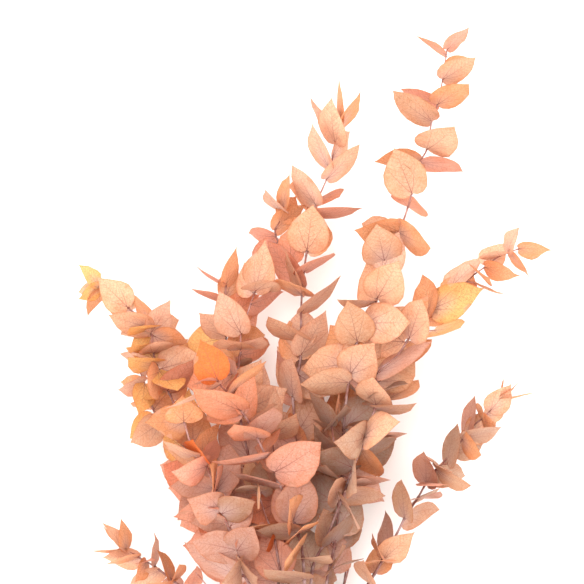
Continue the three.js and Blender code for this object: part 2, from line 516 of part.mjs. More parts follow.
// A leaf as a thin closed lens with a sharp rim, grown by a clearance if one is given
function leafSolid(pose, grow = 0) {
  const outline = (a, b) => {
    const far = 1 + (2 * grow) / pose.length;
    return leafPoint(pose, (a - 0.45) * far + 0.45, b * (1 + (2 * grow) / pose.width));
  };
  const half = LEAF_THICKNESS / 2 + grow;
  const left = OUTLINE.map(([a, b]) => outline(a, b));
  const right = OUTLINE.map(([a, b]) => outline(a, -b));
  const tops = MIDRIB.map((a) => leafPoint(pose, a, 0, half));
  const bottoms = MIDRIB.map((a) => leafPoint(pose, a, 0, -half));
  const stalkEnd = pose.foot.clone().lerp(pose.base, -0.3);
  const points = [stalkEnd, ...left, outline(1, 0), ...right, ...tops, ...bottoms];
  const leftHalf = [[0, 8, 1], [1, 8, 2], [8, 9, 2], [2, 9, 3], [9, 4, 3]];
  const triangles = [];
  for (const [i, j, k] of leftHalf) {
    const across = [i, j, k].map((n) => (n >= 1 && n <= 3 ? n + 4 : n));
    const below = (n) => (n >= 8 ? n + 2 : n);
    triangles.push(i, j, k);
    triangles.push(across[0], across[2], across[1]);
    triangles.push(below(i), below(k), below(j));
    triangles.push(below(across[0]), below(across[1]), below(across[2]));
  }
  return new wasm.Manifold(new wasm.Mesh({
    numProp: 3,
    vertProperties: new Float32Array(points.flatMap((p) => p.toArray())),
    triVerts: new Uint32Array(triangles),
  }));
}

// Outline points of a leaf, round its rim
function leafRim(pose) {
  const left = OUTLINE.map(([a, b]) => leafPoint(pose, a, b));
  const right = OUTLINE.map(([a, b]) => leafPoint(pose, a, -b));
  return [pose.base, ...left, pose.tip, ...right.reverse()];
}

// A leaf that would pass through the surface below is lifted at its tip until it rests on it
function settled(foot, base, tip, turn, width, fold, bow) {
  let pose = poseOf(foot, base, tip.clone(), turn, width, fold, bow);
  for (let k = 0; k < 4; k += 1) {
    const lowest = Math.min(...leafRim(pose).map((p) => p.z));
    if (lowest >= 0) return pose;
    pose = poseOf(foot, base, pose.tip.clone().setZ(pose.tip.z - 1.1 * lowest), turn, width, fold, bow);
  }
  return pose;
}

// Degrees to radians
function radians(degrees) {
  return (degrees * Math.PI) / 180;
}

// The two ends of a side twig to a leaf base off its shoot, and the leaf's seat near its head
function sideTwigEnds(line, lengths, u, v) {
  const { gap, place, distance } = nearestOn(line, lengths, at(u, v, 0), true);
  const head = at(u, v, place.z);
  const foot = pointAlong(line, lengths, distance + 0.9 * gap);
  const seat = head.clone().addScaledVector(foot.clone().sub(head).normalize(), LAST_SEAT);
  return { gap, head, foot, seat };
}

// The pose of a leaf laid out by its row, with one change
function rowPose(shoot, line, lengths, row, key, change) {
  const [bu, bv, tu, tv, seenWidth, side] = row;
  const [rise, roll, swing, scale] = change;
  const seat = nearestOn(line, lengths, at(bu, bv, 0), true);
  const seated = pointAlong(line, lengths, Math.max(seat.distance, LAST_SEAT));
  const foot = seat.gap < SNAP ? seated : sideTwigEnds(line, lengths, bu, bv).seat;
  const base = foot.clone().add(new THREE.Vector3(0, 0, STALK * side));
  const grown = Math.min(seat.distance / FULL_GROWN, 1);
  const full = shoot.size[0] + (shoot.size[1] - shoot.size[0]) * grown;
  const run = at(tu, tv, 0).sub(base.clone().setZ(0));
  run.applyAxisAngle(new THREE.Vector3(0, 0, 1), radians(swing)).multiplyScalar(scale);
  const seen = run.length();
  const level = side === 0 ? 0 : 0.16 * seen;
  const lift = Math.max(Math.sqrt(Math.max(full * full - seen * seen, 0)), level) * side;
  const tip = new THREE.Vector3(base.x + run.x, base.y + run.y, base.z + lift + rise);
  const wide = LEAF_ASPECT * Math.max(full, Math.min(seen, full * 1.15));
  const seenAcross = seenWidth * GRID;
  const turned = Math.acos(Math.min(seenAcross / wide, 1));
  const lean = line[Math.min(line.length - 1, 1)].clone().sub(line[0]).cross(run).z > 0 ? 1 : -1;
  const turn = turned * lean + radians(roll);
  const width = turned > 1 ? wide * scale : Math.min(seenAcross / Math.cos(turned), wide) * scale;
  return settled(foot, base, tip, turn, width, foldOf(key), bowOf(key));
}

// How far a leaf folds along its midrib, and how far it bows along its length
function foldOf(key) {
  return -0.04 + 0.14 * chance(key * 7 + 1);
}
function bowOf(key) {
  return -0.03 + 0.1 * chance(key * 7 + 2);
}

// The pose of a leaf of a regular opposite pair, with one change
function pairPose(line, lengths, distance, angle, length, key, change) {
  const [rise, roll, swing, scale] = change;
  const foot = pointAlong(line, lengths, distance);
  const tipward = pointAlong(line, lengths, distance - 4).sub(pointAlong(line, lengths, distance + 4));
  tipward.normalize();
  const across = new THREE.Vector3(0, 0, 1).cross(tipward).normalize();
  const over = tipward.clone().cross(across);
  const spread = radians(58 + 14 * chance(key * 7 + 3) + swing);
  const out = across.clone().multiplyScalar(Math.cos(angle)).addScaledVector(over, Math.sin(angle));
  const along = tipward.clone().multiplyScalar(Math.cos(spread)).addScaledVector(out, Math.sin(spread));
  const base = foot.clone().addScaledVector(along, STALK * 0.8);
  const grown = length * scale * (0.86 + 0.22 * chance(key * 7 + 4));
  const tip = base.clone().addScaledVector(along, grown);
  tip.z += rise;
  const inner = tipward.clone().addScaledVector(along, -tipward.dot(along));
  const level = new THREE.Vector3(-along.y, along.x, 0).normalize();
  const up = along.clone().cross(level);
  const turn = Math.atan2(-inner.dot(level), inner.dot(up)) + radians(roll);
  return settled(foot, base, tip, turn, grown * LEAF_ASPECT, foldOf(key), bowOf(key));
}

// Whether two boxes come within reach of each other
function boxesMeet(a, b) {
  return a.min.every((low, i) => low <= b.max[i] && b.min[i] <= a.max[i]);
}

// Everything placed so far, as small solids with the name of the shoot they belong to
const placed = [];
function place(owner, solid, isLeaf) {
  placed.push({ owner, solid, isLeaf, box: solid.boundingBox() });
}

// Whether a leaf with its clearance touches a placed solid of another shoot
function touchesOthers(owner, pose) {
  const fat = leafSolid(pose, LEAF_CLEARANCE);
  const box = fat.boundingBox();
  return placed.some((other) => other.owner !== owner && boxesMeet(box, other.box)
    && fat.intersect(other.solid).volume() > 1e-4);
}

// Whether the outer part of a leaf's blade touches another leaf of its own shoot
function touchesOwn(owner, pose) {
  const part = 0.25;
  const length = pose.length * (1 - part);
  const blade = { ...pose, base: leafPoint(pose, part, 0), length, width: pose.width * 0.9, bow: 0 };
  const fat = leafSolid(blade, 0.1);
  const box = fat.boundingBox();
  return placed.some((other) => other.owner === owner && other.isLeaf && boxesMeet(box, other.box)
    && fat.intersect(other.solid).volume() > 1e-4);
}

// The first change that leaves a leaf clear of all others; failing that, if it must stand,
// the first that leaves it clear of other shoots
function clearPose(owner, posing, allowed, mustStand) {
  const above = (pose) => leafRim(pose).every((p) => p.z > -0.02);
  const poses = CHANGES.map(posing).filter((pose) => above(pose) && allowed(pose));
  const free = poses.filter((pose) => !touchesOthers(owner, pose));
  return free.find((pose) => !touchesOwn(owner, pose)) ?? (mustStand ? free[0] ?? posing(CHANGES[0]) : null);
}

// Whether a point lies inside a flat outline
function inside(outline, x, y) {
  let within = false;
  for (let i = 0, j = outline.length - 1; i < outline.length; j = i, i += 1) {
    const [a, b] = [outline[i], outline[j]];
    if (a.y > y !== b.y > y && x < ((b.x - a.x) * (y - a.y)) / (b.y - a.y) + a.x) within = !within;
  }
  return within;
}

// Splits a line into short straight solids, for clearance
function placeTwig(owner, line, firstRadius, lastRadius) {
  const count = 4;
  for (let i = 0; i < line.length - 1; i += count) {
    const piece = line.slice(i, i + count + 1);
    if (piece.length < 2) continue;
    const from = firstRadius + (lastRadius - firstRadius) * (i / line.length);
    const to = firstRadius + (lastRadius - firstRadius) * Math.min((i + count) / line.length, 1);
    place(owner, taperedTwig(piece, from + 0.15, to + 0.15, 6, 8), false);
  }
}

// Woody stems, from the cut end through the tie to the last fork
const lines = new Map();
const bodies = new Map();
function buildStems() {
  for (const [name, [across, up], top] of STEMS) {
    const tied = at(TIE_U, TIE_V, TIE_Z).add(new THREE.Vector3(across * TIE_PITCH, 0, up * TIE_PITCH));
    const end = at(TIE_U, CUT_V, CUT_Z).add(
      new THREE.Vector3(across * TIE_PITCH * CUT_SPREAD, 6 - Math.abs(across) * 8, up * TIE_PITCH),
    );
    const line = smoothLine([end, tied, ...top.map((p) => at(...p))]);
    lines.set(name, { line, lengths: lengthsAlong(line), radii: [STEM_RADIUS, STEM_TOP_RADIUS] });
    bodies.set(name, taperedTwig(line, STEM_RADIUS, STEM_TOP_RADIUS, 8, STEM_STEP));
    placeTwig(name, line, STEM_RADIUS, STEM_TOP_RADIUS);
  }
}

// A shoot's line, with its foot moved onto the stem that carries it
function shootLine(path, carrier) {
  const points = path.map((p) => at(...p));
  const { line, lengths } = lines.get(carrier);
  points[points.length - 1] = nearestOn(line, lengths, points.at(-1), false).place;
  return smoothLine(points);
}

// The carrier of a shoot, thickened by the gap and lengthened by it past its tip
function carrierWithGap(name) {
  const { line, radii } = lines.get(name);
  const ends = [line.at(0).clone(), line.at(-1).clone()];
  const past = [line.at(1), line.at(-2)];
  ends.forEach((end, i) => end.addScaledVector(end.clone().sub(past[i]).normalize(), JOINT_GAP));
  const longer = [ends[0], ...line.slice(1, -1), ends[1]];
  return taperedTwig(longer, radii[0] + JOINT_GAP + 0.1, radii[1] + JOINT_GAP + 0.1, 8, TWIG_STEP);
}

// The largest single piece of a solid, without any hollow shut in between its leaves
function largest(solid) {
  const pieces = solid.decompose();
  return pieces.reduce((best, piece) => (piece.volume() > best.volume() ? piece : best));
}

// Adds up many solids
function joined(solids) {
  return solids.reduce((whole, solid) => whole.add(solid));
}

// A side twig to a leaf base that lies off its shoot
function sideTwig(shoot, row) {
  const { line, lengths } = lines.get(shoot.name);
  const { gap, head, foot } = sideTwigEnds(line, lengths, row[0], row[1]);
  if (gap < SNAP) return null;
  const twig = [head, head.clone().lerp(foot, 0.5), foot];
  return { solid: taperedTwig(twig, SIDE_TWIG_RADIUS, SIDE_TWIG_RADIUS, 4, 60), foot };
}

// Adds a side twig or a leaf to its shoot, with a small swelling round its foot where the straight
// pieces of the twig would pass it by
function grow(shoot, solid, foot) {
  shoot.solids.push(solid);
  const box = solid.boundingBox();
  const near = shoot.solids.slice(0, -1).filter((other) => boxesMeet(box, other.boundingBox()));
  if (near.some((other) => other.intersect(solid).volume() > MEETING)) return;
  const ball = new THREE.IcosahedronGeometry(SWELLING);
  ball.translate(foot.x, foot.y, foot.z);
  shoot.solids.push(solidOf(ball));
}

// Lays out the twigs of all shoots before any leaf
const shoots = [];
function layTwigs() {
  for (const shoot of SHOOTS) shoots.push({ ...shoot, laid: true });
  for (const [name, stem, path, length, angle] of FILL_SHOOTS) {
    const size = [length, length];
    shoots.push({ name, stem, path, radius: FILL_RADIUS, size, angle, leaves: [], laid: false });
  }
  for (const shoot of shoots) {
    const line = shootLine(shoot.path, shoot.stem);
    lines.set(shoot.name, { line, lengths: lengthsAlong(line), radii: shoot.radius });
    placeTwig(shoot.name, line, ...shoot.radius);
    const body = taperedTwig(line, ...shoot.radius, 4, TWIG_STEP).subtract(carrierWithGap(shoot.stem));
    shoot.solids = [largest(body)];
    for (const { solid, foot } of shoot.leaves.map((row) => sideTwig(shoot, row)).filter(Boolean)) {
      grow(shoot, solid, foot);
      place(shoot.name, solid, false);
    }
  }
}

// Leaves that show from above come first, at their own places
const seenRims = [];
function layLeaves() {
  shoots.filter((shoot) => shoot.laid).forEach((shoot, order) => {
    const { line, lengths } = lines.get(shoot.name);
    shoot.leaves.forEach((row, i) => {
      const posing = (change) => rowPose(shoot, line, lengths, row, order * 100 + i, change);
      addLeaf(shoot, clearPose(shoot.name, posing, () => true, true), true);
    });
  });
}

// Adds a leaf to its shoot
function addLeaf(shoot, pose, seen) {
  const solid = leafSolid(pose);
  grow(shoot, solid, pose.foot);
  place(shoot.name, solid, true);
  if (seen) seenRims.push(leafRim(pose));
}

// Whether a leaf stays behind what shows from above, or below the part that shows
function hidden(pose) {
  const thicket = THICKET.map(([u, v]) => at(u, v, 0));
  const shownFrom = at(0, SHOWN_TO_V, 0).y;
  return leafRim(pose).every(({ x, y }) => {
    if (y < shownFrom || inside(thicket, x, y)) return true;
    return seenRims.some((rim) => inside(rim, x, y));
  });
}

// Opposite pairs, each turned a quarter from the last, where nothing else grows
function layPairs() {
  shoots.forEach((shoot, order) => {
    const { line, lengths } = lines.get(shoot.name);
    const bare = shoot.laid ? 60 : 26;
    const spacing = shoot.laid ? HIDDEN_SPACING : NODE_SPACING;
    const count = Math.floor((lengths.at(-1) - bare) / spacing);
    for (let k = 0; k <= count; k += 1) {
      for (const half of [0, 1]) {
        const key = 5000 + order * 100 + 2 * k + half;
        const angle = radians((shoot.angle ?? 45) + 90 * k + 180 * half + 24 * (chance(key) - 0.5));
        const length = shoot.size[1] * (k === 0 ? 0.8 : 1);
        const posing = (change) => pairPose(line, lengths, 3 + k * spacing, angle, length, key, change);
        const low = (pose) => !shoot.laid && pose.base.y < at(0, LOW_PAIRS_V, 0).y;
        const allowed = (pose) => (low(pose) || pose.along.z < LEVEL) && hidden(pose);
        const pose = clearPose(shoot.name, posing, allowed, false);
        if (pose) addLeaf(shoot, pose, false);
      }
    }
  });
}

// The pose of a leaf behind the others, from its row
function behindPose(shoot, row) {
  const [distance, bearing, rise, turn, length] = row;
  const { line, lengths } = lines.get(shoot.name);
  const foot = pointAlong(line, lengths, distance);
  const flat = Math.cos(radians(rise));
  const along = new THREE.Vector3(
    Math.cos(radians(bearing)) * flat, Math.sin(radians(bearing)) * flat, Math.sin(radians(rise)),
  );
  const base = foot.clone().addScaledVector(along, STALK);
  const tip = base.clone().addScaledVector(along, length);
  const key = 9000 + distance + bearing;
  return settled(foot, base, tip, radians(turn), length * LEAF_ASPECT, foldOf(key), bowOf(key));
}

// Leaves behind the others, where light would come through the crown
function layBehind() {
  for (const shoot of shoots) {
    for (const row of BEHIND[shoot.name] ?? []) addLeaf(shoot, behindPose(shoot, row), false);
  }
}

// The tie: a ring of wound twine drawn tight round the stems
function tieSolid() {
  const edge = 0.6;
  const profile = [
    [TIE_INNER, -TIE_WIDTH / 2], [TIE_OUTER - edge, -TIE_WIDTH / 2], [TIE_OUTER, -TIE_WIDTH / 2 + edge],
    [TIE_OUTER, TIE_WIDTH / 2 - edge], [TIE_OUTER - edge, TIE_WIDTH / 2], [TIE_INNER, TIE_WIDTH / 2],
    [TIE_INNER, -TIE_WIDTH / 2],
  ].map(([radius, height]) => new THREE.Vector2(radius, height));
  const ring = new THREE.LatheGeometry(profile, 24);
  const centre = at(TIE_U, TIE_V, TIE_Z);
  ring.rotateX(Math.atan(BUNDLE_SLOPE));
  ring.translate(centre.x, centre.y, centre.z);
  return solidOf(ring);
}

// A mesh from a solid, in the bunch's frame
function meshOf(name, solid, shift, colour, roughness) {
  const { vertProperties, triVerts, numProp } = solid.getMesh();
  const places = new Float32Array((vertProperties.length / numProp) * 3);
  for (let i = 0; i < places.length / 3; i += 1) {
    for (const axis of [0, 1, 2]) {
      places[3 * i + axis] = vertProperties[numProp * i + axis] - shift.getComponent(axis);
    }
  }
  const geometry = new THREE.BufferGeometry();
  geometry.setAttribute('position', new THREE.BufferAttribute(places, 3));
  geometry.setIndex([...triVerts]);
  geometry.computeVertexNormals();
  const surface = new THREE.MeshStandardMaterial({ color: colour, roughness, metalness: 0 });
  const mesh = new THREE.Mesh(geometry, surface);
  mesh.name = name;
  return mesh;
}

buildStems();
layTwigs();
layLeaves();
layPairs();
layBehind();
for (const shoot of shoots) bodies.set(shoot.name, largest(joined(shoot.solids).simplify(FINEST_EDGE)));
bodies.set('tie', tieSolid());

// The whole bunch is moved so that it stands on Z = 0 with its box centred on the origin
const whole = new THREE.Box3();
for (const solid of bodies.values()) {
  const { min, max } = solid.boundingBox();
  whole.expandByPoint(new THREE.Vector3(...min));
  whole.expandByPoint(new THREE.Vector3(...max));
}
const shift = whole.getCenter(new THREE.Vector3()).setZ(whole.min.z);

const bunch = new THREE.Group();
bunch.name = 'eucalyptus_bunch';
for (const [name, solid] of bodies) {
  const woody = name.startsWith('stem_');
  const colour = name === 'tie' ? 0xb89b6e : woody ? 0x7c5138 : 0xf0a87c;
  bunch.add(meshOf(name, solid, shift, colour, woody ? 0.8 : 0.6));
}

export default bunch;
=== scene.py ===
import json
import math
from functools import partial

import bpy
import numpy as np
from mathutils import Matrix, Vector, kdtree

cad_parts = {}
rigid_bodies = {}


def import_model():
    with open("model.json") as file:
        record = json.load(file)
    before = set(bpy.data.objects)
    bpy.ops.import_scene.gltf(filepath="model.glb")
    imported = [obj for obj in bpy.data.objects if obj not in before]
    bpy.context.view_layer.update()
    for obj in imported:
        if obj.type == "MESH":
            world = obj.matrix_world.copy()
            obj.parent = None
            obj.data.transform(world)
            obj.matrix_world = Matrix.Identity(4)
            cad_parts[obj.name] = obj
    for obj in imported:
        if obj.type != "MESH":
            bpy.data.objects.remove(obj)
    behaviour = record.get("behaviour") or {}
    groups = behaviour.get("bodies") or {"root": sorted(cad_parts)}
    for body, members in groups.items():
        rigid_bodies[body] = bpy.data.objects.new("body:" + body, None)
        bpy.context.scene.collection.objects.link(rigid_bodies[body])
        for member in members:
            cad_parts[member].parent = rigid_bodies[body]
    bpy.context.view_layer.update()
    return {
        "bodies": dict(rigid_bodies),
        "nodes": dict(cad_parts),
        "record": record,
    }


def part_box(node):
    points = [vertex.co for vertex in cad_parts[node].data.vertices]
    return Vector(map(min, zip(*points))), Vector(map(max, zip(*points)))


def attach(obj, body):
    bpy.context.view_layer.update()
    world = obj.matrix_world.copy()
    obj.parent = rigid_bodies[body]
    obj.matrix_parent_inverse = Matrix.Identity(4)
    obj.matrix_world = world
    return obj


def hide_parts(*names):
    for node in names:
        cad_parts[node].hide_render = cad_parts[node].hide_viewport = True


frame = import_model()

bl_info = {
    "name": "Dried eucalyptus bunch",
    "version": (1, 0, 0),
    "blender": (4, 5, 0),
    "location": "3D View > Sidebar > Eucalyptus",
    "description": "Leaves, twigs, woody stems and twine of a tied bunch of dried eucalyptus",
    "category": "Object",
}

# Lengths are in millimetres, and go to Blender in metres
MM = 0.001
GRID = 0.9                 # millimetres in one step of the layout grid
MIDDLE = 292               # grid place of the layout's X = 0 and Y = 0, with v counted downwards
VIEW_STEPS = 584           # grid steps that the camera takes in
LEAF_ASPECT = 0.88         # width of a full leaf over its length
SIDE_TWIG_SNAP = 3.8       # a leaf base this near its twig sits on it, others have a side twig
SIDE_TWIG_RADIUS = 0.6
LAST_SEAT = 1.8            # from the end of a twig to its last leaf
STALK = 2.4                # from the middle of a twig to the foot of a blade
FORK_RUN = 0.9             # how far below its head a side twig starts, as a share of its reach
FULL_GROWN = 90            # leaves this far from the tip of a shoot have their full size
YOUNG_REACH = 70           # leaves nearer to the tip than this are young, and more pointed
LONGEST = 1.15             # how long a leaf may be, as a share of a full-grown one
LEAST_LIFT = 0.16          # how far a tip stands up or down at least, as a share of the length seen
# Hidden pairs of leaves, on a shoot that shows and on a short one: how far apart, and how much of the
# twig's foot is bare
SEEN_PAIRS = {"spacing": 40, "bare": 60}
FILL_PAIRS = {"spacing": 21, "bare": 26}
FILL_RADIUS = (0.7, 1.1)   # of a short shoot's twig, at its tip and its foot
FIRST_PAIR = 3             # from the tip of a twig to its first pair
FIRST_GROWTH = 0.8         # of the first pair, as a share of the others
PAIR_WOBBLE = 24           # degrees within which a pair is turned by chance
# Values that differ by chance, as the least one and how much more it may be
FOLDS = (-0.04, 0.14)      # of a leaf at its midrib, as a share of its width
BOWS = (-0.03, 0.1)        # of a leaf, as a share of its length
PAIR_SPREAD = (58, 14)     # degrees between a leaf of a pair and its twig
PAIR_GROWTH = (0.86, 0.22)               # of a leaf of a pair, as a share of a full-grown one
PAIR_KEYS = 5000           # where the keys of the leaves in pairs start
BEHIND_KEYS = 9000         # where the keys of the leaves behind the others start
STEM_RADII = (2.1, 1.8)    # of a woody stem, at its cut end and its last fork
TIE_U = 300                # grid place and height of the tie
TIE_V = 700
TIE_Z = 34
TIE_PITCH = 5.0            # between stems inside the tie
CUT_V = 782                # grid place of the cut ends
CUT_Z = 9.6
CUT_SPREAD = 1.45          # how far the cut ends spread again past the tie
BUNDLE_SLOPE = (TIE_Z - CUT_Z) / ((CUT_V - TIE_V) * GRID)
OUTLINE = ((0.2, 0.46), (0.62, 0.4))     # corners of a frame leaf's rim, along and across
DYE_DEPTH = 0.91           # of the tones below, which are as seen in bright light
HUE_SPREAD = (0.02, 0.08, 0.16)          # how far leaves of a tone differ in red, green and blue
WAX = 0.12                 # share of pale wax all over a leaf
VIVID = "V"                # tone of a leaf without wax
STAINED = (305, 311, 208)  # the leaves with large orange-brown stains, by key
STAIN = 1.8                # how strong those are, where a leaf's own specks and stains go up to 1
BOW_STEP = 0.02            # added to a leaf's bow until its own twig is clear of the blade
BOW_STEPS = 6
TWIG_STEP = 2.5            # between points along a twig, and along a woody stem
STEM_STEP = 3.0
TWIG_TIP = 0.4             # how far a twig narrows at its tip, and a woody stem at its far end
STEM_END = 0.35
FOUND_WITHIN = 0.08        # millimetres between a worked-out corner and one of the node's
FOUND_CORNERS = 3          # of a leaf's five, for it to be one of the node's
KNOT_REACH = 2.6           # from a leaf's seat to where its ring on the twig ends
# Rings of a stem's cut face: distance from its end, and reach as a part of the stem's radius
CUT_RINGS = ((0.0, 0.03), (0.02, 0.4), (0.04, 0.75), (0.06, 0.94))

# The stage, in metres and degrees. Lamps: name, how far each leans off the vertical, strength, softness.
FLOOR_REACH = 6.0
CROWN_HEIGHT = 0.085
ROOM_LIGHT = 2.0
LAMPS = (("front_light", (-0.16, 0.22), 1.52, 26), ("right_fill", (0.9, -0.3), 0.5, 60))

# Woody stems: name, place inside the tie as (across, up), then (u, v, z) from the tie to the last fork
STEMS = (
    ("stem_left_low", (-1.5, -0.5), ((284, 677, 36), (264, 655, 39), (240, 633, 42), (214, 613, 44))),
    ("stem_left_back", (-0.5, -1.5), ((282, 655, 40), (258, 605, 53))),
    ("stem_left_front", (-1.5, 0.5), ((281, 655, 52), (262, 615, 67))),
    ("stem_front_low", (-0.5, 1.5), ((287, 660, 57), (270, 622, 80))),
    ("stem_centre_left", (-0.5, -0.5), ((292, 655, 44), (284, 605, 56))),
    ("stem_front_centre", (-0.5, 0.5), ((294, 655, 54), (288, 610, 78))),
    ("stem_centre", (0.5, -1.5), ((302, 655, 39), (304, 600, 52))),
    ("stem_front", (0.5, 1.5), ((303, 655, 62), (305, 606, 89))),
    ("stem_front_right", (0.5, 0.5), ((305, 655, 54), (310, 606, 76))),
    ("stem_right", (1.5, 0.5), ((313, 655, 52), (322, 606, 76))),
    ("stem_right_back", (0.5, -0.5), ((309, 655, 46), (328, 600, 60))),
    ("stem_right_low", (1.5, -0.5), ((313, 676, 36), (328, 650, 41), (345, 625, 46))),
)

